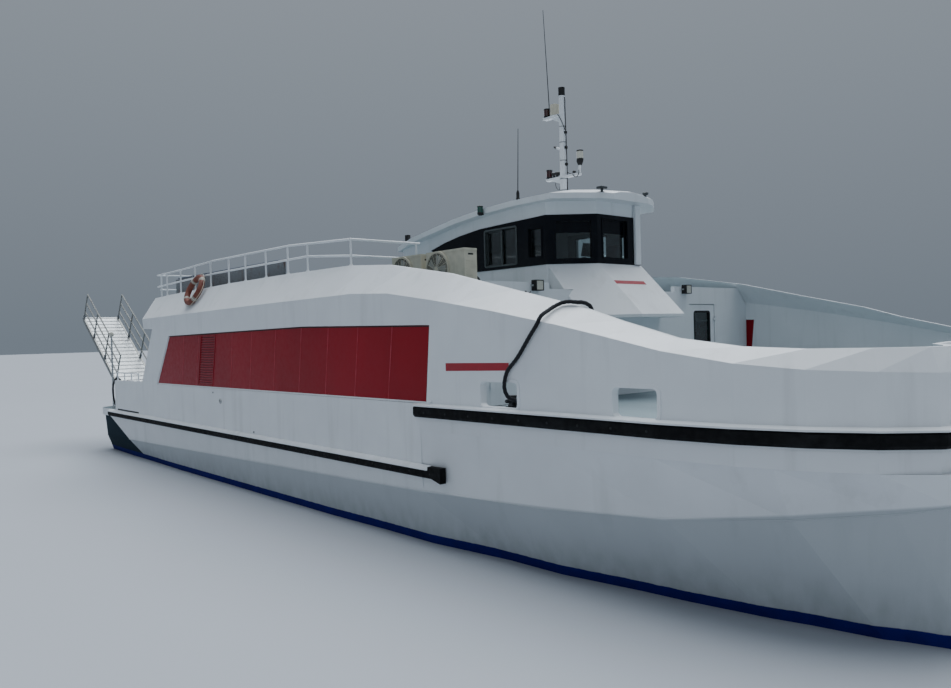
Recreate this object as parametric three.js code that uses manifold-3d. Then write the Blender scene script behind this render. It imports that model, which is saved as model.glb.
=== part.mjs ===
// Passenger ferry: a decked catamaran of about 22 m, afloat on its waterline.
// Millimetres. +X runs to the bow, +Y to port, +Z up. The origin is on the waterline,
// on the centreline, amidships. Port pieces are built first and mirrored to starboard.
import * as THREE from 'three';
import { mergeVertices } from 'three/addons/utils/BufferGeometryUtils.js';
import Module from 'manifold-3d';

const wasm = await Module();
wasm.setup();

// Driving dimensions
const GAP = 0.4;             // between two pieces that touch
const SIDE = 4450;           // centreline to the side plating
const WALL = 80;             // side wall with its frames and lining
const INSET = 420;           // how far the coaming leans inboard from foot to top
const HULL_TOP = 1000;       // top of the hulls under the main deck
const MAIN_DECK = 1200;      // deck of the saloon and the aft deck
const BOW_HULL_TOP = 1700;   // top of the hulls under the foredeck
const FOREDECK = 1900;       // deck inside the bow bulwarks
const STEP_X = 4200;         // where the foredeck starts
const FRONT_X = 4620;        // seam between the side and the bow bulwark
const BULKHEAD = 80;         // thickness of the end bulkheads
const STERN_X = -11450;      // aft edge of the stern platform
const UPPER_UNDER = 3700;    // underside and top of the upper deck
const UPPER_DECK = 3800;
const UPPER_EDGE = -7640;    // where the rails of the upper deck start
const TUNNEL = 1950;         // half width between the hulls
const SILL = 4260;           // foot of the wheelhouse windows
const BAND_TOP = 5130;       // head of the wheelhouse windows
const HOUSE_HALF = 1300;     // half width of the wheelhouse
const SHAFT_Y = 3200;        // propeller shafts: distance off the centreline and height
const SHAFT_Z = -980;
const SHAFT_END = -5700;
const PROP_X = -10150;
const PROP_R = 380;
const RUDDER_X = -10720;     // rudder stocks
const RAIL_R = 21;           // rail tube radius

// Small makers of closed geometry
function fromFaces(points, faces) {
  let volume = 0;
  const a = new THREE.Vector3(), b = new THREE.Vector3(), c = new THREE.Vector3();
  for (const [i, j, k] of faces) {
    a.fromArray(points[i]); b.fromArray(points[j]); c.fromArray(points[k]);
    volume += a.dot(b.cross(c));
  }
  const index = faces.flatMap(([i, j, k]) => (volume < 0 ? [i, k, j] : [i, j, k]));
  const g = new THREE.BufferGeometry();
  g.setAttribute('position', new THREE.Float32BufferAttribute(points.flat(), 3));
  g.setIndex(index);
  return g;
}

// a loft through rings of equal point count, closed with flat ends
function loft(rings) {
  const n = rings[0].length;
  const points = rings.flat();
  const faces = [];
  for (let r = 0; r + 1 < rings.length; r++) {
    for (let j = 0; j < n; j++) {
      const k = (j + 1) % n;
      const A = r * n + j, B = r * n + k, C = (r + 1) * n + k, D = (r + 1) * n + j;
      faces.push([A, B, C], [A, C, D]);
    }
  }
  for (const end of [0, rings.length - 1]) {
    const ring = rings[end];
    const normal = [0, 0, 0];
    ring.forEach((p, i) => {
      const q = ring[(i + 1) % n];
      normal[0] += (p[1] - q[1]) * (p[2] + q[2]);
      normal[1] += (p[2] - q[2]) * (p[0] + q[0]);
      normal[2] += (p[0] - q[0]) * (p[1] + q[1]);
    });
    const size = normal.map(Math.abs);
    const drop = size.indexOf(Math.max(...size));
    const u = (drop + 1) % 3, v = (drop + 2) % 3;
    const flat = ring.map((p) => new THREE.Vector2(p[u], p[v]));
    const tris = THREE.ShapeUtils.triangulateShape(flat, []);
    const outward = end === 0 ? -1 : 1;
    for (const [i, j, k] of tris) {
      const area = (flat[j].x - flat[i].x) * (flat[k].y - flat[i].y)
        - (flat[k].x - flat[i].x) * (flat[j].y - flat[i].y);
      const keep = Math.sign(area) === Math.sign(normal[drop]) * outward;
      const o = end * n;
      faces.push(keep ? [o + i, o + j, o + k] : [o + i, o + k, o + j]);
    }
  }
  return fromFaces(points, faces);
}

const box = (x0, x1, y0, y1, z0, z1) => new THREE.BoxGeometry(x1 - x0, y1 - y0, z1 - z0)
  .translate((x0 + x1) / 2, (y0 + y1) / 2, (z0 + z1) / 2);
const alongX = (yz, x0, x1) => loft([x0, x1].map((x) => yz.map(([y, z]) => [x, y, z])));
const alongY = (xz, y0, y1) => loft([y0, y1].map((y) => xz.map(([x, z]) => [x, y, z])));
const alongZ = (xy, z0, z1) => loft([z0, z1].map((z) => xy.map(([x, y]) => [x, y, z])));

function rod(from, to, r, sides = 6, r2 = r) {
  const a = new THREE.Vector3(...from), b = new THREE.Vector3(...to);
  const g = new THREE.CylinderGeometry(r2, r, a.distanceTo(b), sides);
  const turn = new THREE.Quaternion().setFromUnitVectors(
    new THREE.Vector3(0, 1, 0), b.clone().sub(a).normalize());
  const mid = a.add(b).multiplyScalar(0.5);
  return g.applyQuaternion(turn).translate(mid.x, mid.y, mid.z);
}

function solid(g) {
  const bare = new THREE.BufferGeometry();
  bare.setAttribute('position', g.getAttribute('position'));
  if (g.index) bare.setIndex(g.index);
  const m = mergeVertices(bare, 1e-3);
  return new wasm.Manifold(new wasm.Mesh({
    numProp: 3,
    vertProperties: new Float32Array(m.getAttribute('position').array),
    triVerts: new Uint32Array(m.index.array),
  }));
}

function geometry(m) {
  const mesh = m.getMesh();
  const g = new THREE.BufferGeometry();
  g.setAttribute('position', new THREE.Float32BufferAttribute(mesh.vertProperties, 3));
  g.setIndex(Array.from(mesh.triVerts));
  return g;
}

const join = (...list) => geometry(list.slice(1).reduce((m, g) => m.add(solid(g)), solid(list[0])));
const cut = (base, ...tools) => geometry(tools.reduce((m, g) => m.subtract(solid(g)), solid(base)));
const common = (a, b) => geometry(solid(a).intersect(solid(b)));

function mirrored(g) {
  const m = g.index ? g.toNonIndexed() : g.clone();
  const p = m.getAttribute('position');
  const out = [];
  for (let i = 0; i < p.count; i += 3) {
    for (const k of [i, i + 2, i + 1]) out.push(p.getX(k), -p.getY(k), p.getZ(k));
  }
  const flip = new THREE.BufferGeometry();
  flip.setAttribute('position', new THREE.Float32BufferAttribute(out, 3));
  return mergeVertices(flip, 1e-3);
}

// value read off a table of [x, value] rows
function read(rows, x) {
  if (x <= rows[0][0]) return rows[0][1];
  for (let i = 1; i < rows.length; i++) {
    const [x0, v0] = rows[i - 1], [x1, v1] = rows[i];
    if (x <= x1) return v0 + ((v1 - v0) * (x - x0)) / (x1 - x0);
  }
  return rows[rows.length - 1][1];
}

const ferry = new THREE.Group();
const PAINT = { white: 0xe4e8ea, red: 0xb3142b, grey: 0x8d9499, black: 0x17191c, blue: 0x16246b,
  cream: 0xdcd8c6, deck: 0x6f7f86, steel: 0xaab0b4, bronze: 0xa98545, orange: 0xc2583c, glass: 0x1b2a33 };
function add(name, g, colour, roughness = 0.45, metalness = 0) {
  g.computeVertexNormals();
  const mesh = new THREE.Mesh(g, new THREE.MeshStandardMaterial(
    { color: PAINT[colour], roughness, metalness }));
  mesh.name = name;
  ferry.add(mesh);
}
function pair(name, g, ...look) {
  add(`${name}_port`, g, ...look);
  add(`${name}_starboard`, mirrored(g), ...look);
}

// Hulls: one section per row, port side
// x, top z, deck y, chine y, chine z, bilge y, bilge z, keel y, keel z, inner bilge y, inner y
const HULL = [
  [-10900, HULL_TOP, SIDE, 4400, 420, 4180, -180, 3200, -420, 2220, TUNNEL],
  [-7400, HULL_TOP, SIDE, 4420, 480, 4230, -330, 3200, -800, 2170, TUNNEL],
  [-3600, HULL_TOP, SIDE, 4430, 600, 4270, -480, 3200, -1160, 2130, TUNNEL],
  [1500, HULL_TOP, SIDE, 4430, 720, 4250, -560, 3200, -1200, 2150, TUNNEL],
  [STEP_X, HULL_TOP, SIDE, 4420, 800, 4160, -560, 3200, -1200, 2230, TUNNEL],
  [STEP_X + 2, BOW_HULL_TOP, SIDE, 4420, 800, 4160, -560, 3200, -1200, 2230, TUNNEL],
  [6600, BOW_HULL_TOP, SIDE, 4390, 885, 3880, -520, 3200, -1180, 2450, TUNNEL],
  [8300, BOW_HULL_TOP, 4430, 4250, 1015, 3620, -480, 3200, -1120, 2700, 2050],
  [9600, BOW_HULL_TOP, 4260, 3940, 1150, 3430, -400, 3190, -980, 2900, 2350],
  [10450, BOW_HULL_TOP, 3900, 3560, 1275, 3300, -300, 3180, -700, 3030, 2740],
  [10900, BOW_HULL_TOP, 3560, 3350, 1370, 3230, 180, 3170, -50, 3090, 2960],
  [11100, BOW_HULL_TOP, 3380, 3260, 1440, 3200, 900, 3170, 780, 3110, 3060],
];
const KEEL_HALF = 60;
const hullRing = ([x, top, yd, yc, zc, yb, zb, yk, zk, yi, yin]) => {
  const half = Math.min(KEEL_HALF, (yb - yi) / 4);
  return [[x, yd, top], [x, yc, zc], [x, yb, zb], [x, yk + half, zk], [x, yk - half, zk],
    [x, yi, zb], [x, yin, zc], [x, yin, top]];
};
const engineRoom = box(-8600, -5400, 2650, 3750, -260, HULL_TOP + 50);
const sternBore = rod([-6700, SHAFT_Y, SHAFT_Z], [-5650, SHAFT_Y, SHAFT_Z], 62, 16);
const stockBore = rod([RUDDER_X, SHAFT_Y, -700], [RUDDER_X, SHAFT_Y, 200], 46, 12);
pair('hull', cut(loft(HULL.map(hullRing)), engineRoom, sternBore, stockBore), 'white');
pair('engine', join(box(-8350, -6100, 2780, 3620, -240, 700), box(-6100, -5650, 2950, 3450, -200, 300)),
  'grey', 0.6, 0.4);

// Bridge structure between the hulls, its underside rising to the bow
const BRIDGE = { aft: -10700, fore: 10150, under: 720 };
add('wet_deck', alongY([[BRIDGE.aft, BRIDGE.under], [5200, BRIDGE.under], [8600, 1060], [BRIDGE.fore, 1380],
  [BRIDGE.fore, BOW_HULL_TOP - GAP], [STEP_X + 2, BOW_HULL_TOP - GAP], [STEP_X + 2, HULL_TOP - GAP],
  [BRIDGE.aft, HULL_TOP - GAP]], -TUNNEL + GAP, TUNNEL - GAP), 'white');

// Decks
const bothSides = (rows) => [...rows.map(([x, y]) => [x, -y]), ...rows.slice().reverse()];
add('main_deck', alongZ(bothSides([[STERN_X, 4150], [-11330, 4390], [-11150, SIDE], [STEP_X, SIDE]]),
  HULL_TOP + GAP, MAIN_DECK), 'deck', 0.7);
// edge of the foredeck from the saloon to the gate, port side: x, y, inward direction
const BOW_EDGE = [[FRONT_X + GAP, SIDE, 0, -1], [5000, SIDE, 0, -1], [5780, SIDE, 0, -1],
  [6960, SIDE, 0, -1], [7600, SIDE, 0, -1], [8450, SIDE, -0.05, -1], [9250, 4360, -0.17, -0.985],
  [9900, 4180, -0.35, -0.937], [10450, 3900, -0.6, -0.8], [10850, 3540, -0.86, -0.51],
  [10950, 3200, -1, 0.1], [10830, 2850, -0.93, 0.36], [10560, 2300, -0.96, 0.28],
  [10420, 1500, -1, 0.05], [10405, 1135, -1, 0]];
const bowOutline = [[STEP_X, SIDE], ...BOW_EDGE.slice(1).map(([x, y]) => [x, y])];
add('foredeck', alongZ(bothSides(bowOutline), BOW_HULL_TOP + GAP, FOREDECK), 'deck', 0.7);

// Sides: knuckle and coaming heights along the ship, [x, z]
const KNUCKLE = [[-9950, 3630], [-7550, 3660], [-800, 3750], [2430, 3780], [3440, 3730], [4520, 3580],
  [5780, 3380], [7160, 3130], [7860, 2980], [8700, 2800], [9600, 2680], [11000, 2620]];
const COAMING = [[-9950, 4150], [-7730, 4210], [-6860, 4240], [-3140, 4310], [-500, 4325], [1740, 4310],
  [2880, 4230], [4430, 3980], [5690, 3680], [6960, 3390], [7510, 3220], [8200, 3020], [9000, 2900],
  [9800, 2860], [11000, 2860]];
const LEAN = [[6000, INSET], [7500, 400], [8300, 340], [9200, 240], [10000, 150], [11000, 90]];
// a strip of side wall at a place in plan with its inward direction
function sideRing(x, y, nx, ny, foot) {
  const zk = read(KNUCKLE, x), zc = read(COAMING, x), lean = read(LEAN, x);
  const at = (d, z) => [x + nx * d, y + ny * d, z];
  return [at(0, foot), at(0, zk), at(lean, zc), at(lean + WALL, zc), at(WALL, zk - 20), at(WALL, foot)];
}
const SALOON_X = [-9950, -7550, -6860, -3140, -800, 1740, 2430, 2880, 3440, 4430, 4520, FRONT_X];
const saloonStrip = loft(SALOON_X.map((x) => sideRing(x, SIDE, 0, -1, MAIN_DECK + GAP)));
const sternCut = alongY([[-10200, 2020], [-7700, 2055], [-6850, 3390], [-7480, 3410], [-7550, 3660],
  [-7730, 4215], [-7760, 4700], [-10200, 4700]], 3500, 5000);
const forefootCut = box(STEP_X - 1, FRONT_X + 50, 3500, 5000, 900, FOREDECK + GAP);
// window panel opening: x and z of its corners
const PANEL = [[-6640, 2020], [4350, 2085], [4470, 3225], [740, 3285], [-5750, 3205]];
const grown = (rows, d) => {
  const cx = rows.reduce((s, p) => s + p[0], 0) / rows.length;
  const cz = rows.reduce((s, p) => s + p[1], 0) / rows.length;
  return rows.map(([x, z]) => [x + Math.sign(x - cx) * d, z + Math.sign(z - cz) * d]);
};
pair('side_shell', cut(saloonStrip, sternCut, forefootCut, alongY(PANEL, 4200, 4600)), 'white');
// louvre slots, each row a little forward of the one below it
const LOUVRE = { x0: -4020, x1: -3320, z: 2130, lean: 0.22, pitch: 55, slot: 26, count: 19 };
const louvreSlots = [];
for (let i = 0; i < LOUVRE.count; i++) {
  const up = i * LOUVRE.pitch, z = LOUVRE.z + up, dx = LOUVRE.lean * up;
  louvreSlots.push(box(LOUVRE.x0 + dx, LOUVRE.x1 + dx, 4405, 4500, z, z + LOUVRE.slot));
}
pair('window_panel', cut(alongY(grown(PANEL, -4), SIDE - 62, SIDE - 22), ...louvreSlots), 'red', 0.4);

// Bow bulwarks with the mooring openings
const MOORING = { foot: 2100, head: 2460, corner: 70 };
const openings = [[5540, 6270], [7780, 8420]].map(([x0, x1]) => {
  const { foot, head, corner: c } = MOORING;
  return alongY([[x0 + c, foot], [x1 - c, foot], [x1, foot + c], [x1, head - c], [x1 - c, head],
    [x0 + c, head], [x0, head - c], [x0, foot + c]], 4200, 4600);
});
pair('bow_bulwark', cut(loft(BOW_EDGE.map(([x, y, nx, ny]) => sideRing(x, y, nx, ny, FOREDECK + GAP))),
  ...openings), 'white');

// Upper deck, closed against the leaning coaming
const innerHalf = (x, z) => {
  const zk = read(KNUCKLE, x) - 20, zc = read(COAMING, x);
  const f = Math.max(0, (z - zk) / (zc - zk));
  return SIDE - WALL - read(LEAN, x) * f - 3;
};
const HELM_WELL = [1300, 3700, 1150];   // x from, x to, half width
const [wx0, wx1, wy] = HELM_WELL;
const deckX = [-7700, -6860, -3140, -800, 1740, 2430, 2880, 3440, STEP_X - GAP];
add('upper_deck', cut(loft(deckX.map((x) => {
  const t = innerHalf(x, UPPER_DECK), u = innerHalf(x, UPPER_UNDER);
  return [[x, -t, UPPER_DECK], [x, t, UPPER_DECK], [x, u, UPPER_UNDER], [x, -u, UPPER_UNDER]];
})), box(wx0, wx1, -wy, wy, 3600, 3900)), 'deck', 0.7);

// Bulkheads at the ends of the saloon
const INNER = SIDE - WALL - 1;
const AFT_WALL = -6980;      // aft face of the aft bulkhead
const aftDoorWay = box(-7100, -6800, -500, 500, MAIN_DECK + 30, 3300);
const aftWindows = [[-3400, -1900], [1900, 3400]].map(([a, b]) => box(-7100, -6850, a, b, 2250, 3250));
const doorTrack = box(AFT_WALL - 80, AFT_WALL + 1, -1680, 640, 3345, 3405);
const aftTop = innerHalf(AFT_WALL + BULKHEAD / 2, UPPER_UNDER);
const AFT_SHAPE = [[INNER, MAIN_DECK + GAP], [INNER, 3620], [aftTop, UPPER_UNDER - GAP]];
const bothHalves = (rows) => [...rows, ...rows.slice().reverse().map(([y, z]) => [-y, z])];
add('aft_bulkhead', join(cut(alongX(bothHalves(AFT_SHAPE), AFT_WALL, AFT_WALL + BULKHEAD),
  aftDoorWay, ...aftWindows), doorTrack), 'white');
const fx = STEP_X + BULKHEAD;   // forward face of the front bulkhead
const half = innerHalf(STEP_X + 40, 3900);
const FRONT_SHAPE = [[INNER, FOREDECK + GAP], [INNER, 3555], [half - 4, 3900], [1760, 3900], [1760, 3790]];
const DOOR = { y0: 2260, y1: 3150, z0: FOREDECK + 30, z1: 3560 };
const doorWay = box(STEP_X - 50, fx + 50, DOOR.y0, DOOR.y1, DOOR.z0, DOOR.z1);
const FLOOD = { y: 2090, half: 85, depth: 110 };
const floods = [1, -1].map((s) => box(fx - 1, fx + FLOOD.depth, s * FLOOD.y - FLOOD.half,
  s * FLOOD.y + FLOOD.half, 3760, 3930));
add('front_bulkhead', join(cut(alongX(bothHalves(FRONT_SHAPE), STEP_X, fx), doorWay, mirrored(doorWay)),
  ...floods), 'white');

// Wheelhouse: plan outline, port side, from its aft wall to the front window
const HOUSE = [[-450, HOUSE_HALF], [3790, HOUSE_HALF], [4360, 600]];
const HOUSE_WALL = 60;
// closed outline moved outward by d
function moved(rows, d) {
  const n = rows.length;
  const area = rows.reduce((s, [x, y], i) => {
    const [u, v] = rows[(i + 1) % n];
    return s + x * v - u * y;
  }, 0);
  const side = area > 0 ? 1 : -1;
  return rows.map((p, i) => {
    const a = rows[(i + n - 1) % n], c = rows[(i + 1) % n];
    const n1 = [(p[1] - a[1]) * side, (a[0] - p[0]) * side];
    const n2 = [(c[1] - p[1]) * side, (p[0] - c[0]) * side];
    const l1 = Math.hypot(...n1), l2 = Math.hypot(...n2);
    const u = [n1[0] / l1, n1[1] / l1], v = [n2[0] / l2, n2[1] / l2];
    const k = 1 + u[0] * v[0] + u[1] * v[1];
    return [p[0] + ((u[0] + v[0]) * d) / k, p[1] + ((u[1] + v[1]) * d) / k];
  });
}
const house = bothSides(HOUSE);
// roof stations: x, half width, underside z
const ROOF = [[-600, 1340, 4880], [70, 1480, 5000], [750, 1500, 5100], [1550, 1500, 5225],
  [2290, 1500, 5300], [3110, 1500, 5345], [4060, 1460, 5360], [4370, 1050, 5360], [4590, 700, 5358],
  [4660, 480, 5356]];
const FASCIA = 100, CAMBER = 150;
const roof = loft(ROOF.map(([x, w, z]) => {
  const rise = CAMBER * Math.min(1, w / 1300);
  const eaves = z + FASCIA, bend = w * 0.62, bendZ = eaves + rise * 0.68;
  return [[x, -w, z], [x, w, z], [x, w, eaves], [x, bend, bendZ], [x, 0, eaves + rise], [x, -bend, bendZ],
    [x, -w, eaves]];
}));
const aboveUnderside = loft(ROOF.map(([x, , z]) => [[x, -2500, z - GAP], [x, 2500, z - GAP],
  [x, 2500, 7000], [x, -2500, 7000]]));
const BAND = [[520, 4800], [980, 4915], [1450, 5000], [2050, 5070], [2620, 5090], [3790, 5125],
  [4700, BAND_TOP], [4700, SILL], [1960, SILL]];
const SIDE_WINDOWS = [[2200, 3060, 4330, 5010], [3360, 3700, 4400, 4930]];   // x from, x to, z from, z to
// front and corner windows: the front one is off centre, beside a cable trunk on its port side
const FRONT_WINDOW = { y0: -470, y1: 230, z0: 4360, z1: 5060 };
const CORNER_WINDOW = { x: 4075, y: 950, outer: 290, inner: 360, z0: 4340, z1: 5020 };
const CORNER_TURN = Math.atan2(4360 - 3790, HOUSE_HALF - 600);
const windowCuts = [box(4200, 4600, FRONT_WINDOW.y0, FRONT_WINDOW.y1, FRONT_WINDOW.z0, FRONT_WINDOW.z1)];
for (const s of [1, -1]) {
  const { x, y, outer, inner, z0: foot, z1: head } = CORNER_WINDOW;
  const [near, far] = s > 0 ? [-inner, outer] : [-outer, inner];
  windowCuts.push(box(-200, 200, near, far, foot, head).rotateZ(s * CORNER_TURN).translate(x, s * y, 0));
  for (const [x0, x1, z0, z1] of SIDE_WINDOWS) {
    windowCuts.push(s > 0 ? box(x0, x1, 1100, 1500, z0, z1) : box(x0, x1, -1500, -1100, z0, z1));
  }
}
const houseBlock = alongZ(house, UPPER_DECK + GAP, 6000);
const houseHollow = alongZ(moved(house, -HOUSE_WALL), UPPER_DECK - 100, 7000);
add('wheelhouse_shell', cut(houseBlock, aboveUnderside, houseHollow, ...windowCuts), 'white');
const BAND_SKIN = 14;
const bandOut = alongZ(moved(house, GAP + BAND_SKIN), 4000, 6000);
const bandSkin = cut(bandOut, alongZ(moved(house, GAP), 3900, 6100));
add('wheelhouse_window_band', cut(common(bandSkin, alongY(BAND, -2000, 2000)), ...windowCuts), 'black',
  0.2);
const PANE = { gap: 1.5, thick: 9.5 };
const paneOut = moved(house, -HOUSE_WALL - PANE.gap);
const paneIn = moved(house, -HOUSE_WALL - PANE.gap - PANE.thick);
add('wheelhouse_glass', cut(alongZ(paneOut, 4290, 5090), alongZ(paneIn, 4200, 5200),
  box(-900, 2000, -2000, 2000, 4200, 5200)), 'glass', 0.1);
add('wheelhouse_roof', roof, 'white');
// sunken floor of the wheelhouse, with the hatch that a ladder comes up through
const TRAY = { plate: 40, under: 3300 };
add('wheelhouse_floor', cut(box(wx0 + GAP, wx1 - GAP, -wy + GAP, wy - GAP, TRAY.under, UPPER_DECK),
  box(wx0 + TRAY.plate, wx1 - TRAY.plate, -wy + TRAY.plate, wy - TRAY.plate, TRAY.under + TRAY.plate, 4000),
  box(1400, 2100, -350, 350, TRAY.under - 10, TRAY.under + TRAY.plate + 10)), 'grey', 0.7);
add('helm_console', join(alongY([[3720, UPPER_DECK + GAP], [4180, UPPER_DECK + GAP], [4180, 4360],
  [3980, 4360], [3720, 4180]], -700, 700), rod([3760, -250, 4180], [3660, -250, 4260], 30, 8)), 'grey', 0.6);
// sloping apron from the window sill down over the front of the saloon
const apronTop = [[3700, -1270], [3780, -1270], [4375, -600], [4375, 600], [3780, 1270], [3700, 1270]];
const apronFoot = [[4100, -1290], [4580, -1290], [5300, -600], [5300, 600], [4580, 1290], [4100, 1290]];
add('apron', cut(loft([apronFoot.map(([x, y]) => [x, y, 3290]), apronFoot.map(([x, y]) => [x, y, 3340]),
  apronTop.map(([x, y]) => [x, y, SILL - 2])]), alongZ(moved(house, GAP), 3700, 5000),
box(3000, fx + GAP, -2000, 2000, 3000, UPPER_DECK + GAP)), 'white');

// Mast with its brackets and lamps; the foot is cut to the roof
const MAST_X = 3050, MAST_TOP = 7600;
const roofUp = roof.clone().translate(0, 0, GAP);
const post = (x, z0, z1, r, sides = 12) => rod([MAST_X + x, 0, z0], [MAST_X + x, 0, z1], r, sides);
const gusset = (x, z, drop) => alongY([[MAST_X - x, z], [MAST_X, z - drop], [MAST_X, z]], -12, 12);
const ARM = { upper: 7220, lower: 6020, thick: 42 };
const mastParts = [
  rod([MAST_X, 0, 5450], [MAST_X, 0, MAST_TOP], 72, 12, 55),
  post(0, 5450, 5625, 150),
  post(0, MAST_TOP - 5, 7760, 62),
  box(MAST_X - 460, MAST_X, -60, 60, ARM.upper, ARM.upper + ARM.thick),
  gusset(300, 7225, 145),
  post(-400, 7250, 7440, 58),
  post(-190, 7250, 7470, 85),
  box(MAST_X - 420, MAST_X + 420, -50, 50, ARM.lower, ARM.lower + ARM.thick),
  gusset(340, 6025, 125),
  post(-370, 6050, 6240, 58),
  rod([MAST_X + 400, 0, 6050], [MAST_X + 430, 0, 6300], 26, 8),
  post(430, 6290, 6480, 62),
  rod([MAST_X, 0, 6560], [MAST_X - 170, 0, 6640], 22, 8),
];
add('mast', cut(join(...mastParts), roofUp), 'white');
const WHIP_X = MAST_X - 330;
add('antenna_mast', join(rod([WHIP_X, 0, ARM.upper + ARM.thick + GAP], [WHIP_X, 0, 7400], 9, 8),
  rod([WHIP_X, 0, 7390], [WHIP_X - 110, 0, 9380], 9, 6, 5)), 'grey');
const WHIP_Y = -1470;
add('antenna_roof', cut(join(rod([3290, WHIP_Y, 5440], [3290, WHIP_Y, 5570], 26, 8),
  rod([3290, WHIP_Y, 5565], [3335, WHIP_Y, 6700], 9, 6, 5)), roofUp), 'grey');

// Air-conditioning condensers forward of the rail, each on two feet, with the ring of its fan
const CASE = { near: -3300, far: -3040, foot: 3850, top: 4440, fanZ: 4145, fanR: 275 };
const FOOT = { inset: 90, width: 60, reach: 60 };
function condenser(x0, x1) {
  const fanX = x0 + CASE.fanR + 30;
  const feet = [x0 + FOOT.inset, x1 - FOOT.inset - FOOT.width].map((x) => box(x, x + FOOT.width,
    CASE.near - FOOT.reach, CASE.far + FOOT.reach, UPPER_DECK + GAP, CASE.foot + 10));
  return join(box(x0, x1, CASE.near, CASE.far, CASE.foot, CASE.top), ...feet,
    rod([fanX, CASE.near + 5, CASE.fanZ], [fanX, CASE.near - 20, CASE.fanZ], CASE.fanR, 20));
}
add('condenser_forward', condenser(2945, 3930), 'cream');
add('condenser_aft', condenser(1957, 2800), 'cream');

// Rails of the upper deck: [x, z] along the top and the middle rail
const RAIL_END = 1715;
const TOP_RAIL = [[UPPER_EDGE, 4795], [-6000, 4820], [-4100, 4880], [-500, 4870], [RAIL_END, 4766]];
const MID_RAIL = [[UPPER_EDGE, 4500], [-6000, 4545], [-4100, 4590], [200, 4603], [RAIL_END, 4480]];
const RAIL_Y = 3990;
const POSTS = [-6990, -6070, -5160, -4250, -3270, -2440, -1490, -560, 210, RAIL_END];
const railParts = POSTS.map((x) => rod([x, RAIL_Y, read(COAMING, x) + 3],
  [x, RAIL_Y, read(TOP_RAIL, x)], RAIL_R));
for (const rows of [TOP_RAIL, MID_RAIL]) {
  for (let i = 1; i < rows.length; i++) {
    const [w, zw] = rows[i - 1], [x, z] = rows[i];
    railParts.push(rod([w - 8, RAIL_Y, zw], [x + 8, RAIL_Y, z], RAIL_R));
  }
}
// both turn inboard at the forward end, to a post on the deck
const RETURN = { post: 2584, end: 2500 };
for (const [rows, end] of [[TOP_RAIL, RETURN.end], [MID_RAIL, RETURN.post]]) {
  const z = read(rows, RAIL_END);
  railParts.push(rod([RAIL_END, RAIL_Y + RAIL_R, z], [RAIL_END, end, z], RAIL_R));
}
railParts.push(rod([RAIL_END, RETURN.post, UPPER_DECK + GAP],
  [RAIL_END, RETURN.post, read(TOP_RAIL, RAIL_END)], RAIL_R));
pair('upper_rail', join(...railParts), 'white');
const STAIR_Y = [2750, 3650];
const AFT_RAIL = { from: -3900, to: STAIR_Y[0] - 60, posts: 6, top: 4795 };
const aftRail = [];
for (const drop of [0, 370, 740]) {
  const z = AFT_RAIL.top - drop;
  aftRail.push(rod([UPPER_EDGE, AFT_RAIL.from - 30, z], [UPPER_EDGE, AFT_RAIL.to + 20, z], RAIL_R));
}
for (let i = 0; i <= AFT_RAIL.posts; i++) {
  const y = AFT_RAIL.from + (i * (AFT_RAIL.to - AFT_RAIL.from)) / AFT_RAIL.posts;
  aftRail.push(rod([UPPER_EDGE, y, UPPER_DECK + GAP], [UPPER_EDGE, y, AFT_RAIL.top], RAIL_R));
}
add('upper_rail_aft', join(...aftRail), 'white');

// Benches on the upper deck: seat, back and legs, each bench one frame
const SEAT = { half: 215, foot: 4190, top: 4235, back: 4640, leg: 190, bays: 4 };
function bench(x0, x1, y, face) {
  const backY = y - face * SEAT.half;
  const parts = [box(x0, x1, y - SEAT.half, y + SEAT.half, SEAT.foot, SEAT.top),
    box(x0, x1, backY - 22, backY + 22, SEAT.foot + 10, SEAT.back)];
  for (let i = 0; i <= SEAT.bays; i++) {
    const x = x0 + 150 + (i * (x1 - x0 - 300)) / SEAT.bays;
    parts.push(box(x - 22, x + 22, y - SEAT.leg, y - SEAT.leg + 50, UPPER_DECK + GAP, SEAT.foot + 10),
      box(x - 22, x + 22, y + SEAT.leg - 50, y + SEAT.leg, UPPER_DECK + GAP, SEAT.foot + 10));
  }
  return parts;
}
pair('bench', join(...bench(-6900, -1100, 3560, -1)), 'blue', 0.6);
add('bench_centre', join(...bench(-6300, -1100, SEAT.half, 1), ...bench(-6300, -1100, -SEAT.half, -1)),
  'blue', 0.6);

// Stair from the aft deck to the upper deck, on the port side
const STAIR = { x: -10010, going: 205, rise: 236, steps: 10, tread: 120, cheek: 22 };
const steps = [];
for (let i = 1; i <= STAIR.steps; i++) {
  const x = STAIR.x + i * STAIR.going, z = MAIN_DECK + i * STAIR.rise;
  steps.push(box(x - STAIR.tread, x + STAIR.tread, STAIR_Y[0] + 20, STAIR_Y[1] - 20, z - 28, z));
}
for (const y of STAIR_Y) {
  steps.push(alongY([[-9990, MAIN_DECK + GAP], [-9700, MAIN_DECK + GAP], [-7722, 3560], [-7722, 3790],
    [-7890, 3790], [-9990, 1350]], y - STAIR.cheek, y + STAIR.cheek));
  for (const [x, z] of [[-9900, 1400], [-8900, 2580], [-7900, 3760]]) {
    steps.push(rod([x, y, z], [x, y, z + 930], RAIL_R));
  }
  for (const z of [2315, 1880]) steps.push(rod([-9915, y, z], [-7885, y, z + 2390], RAIL_R));
}
add('stair', join(...steps), 'white');

// Fenders: a D section along each side, and one round the bow at the foredeck
const lowFender = alongX([[SIDE + GAP, 1010], [SIDE + 55, 1018], [SIDE + 85, 1055], [SIDE + 85, 1145],
  [SIDE + 55, 1182], [SIDE + GAP, 1192]], -10400, 4650);
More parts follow.
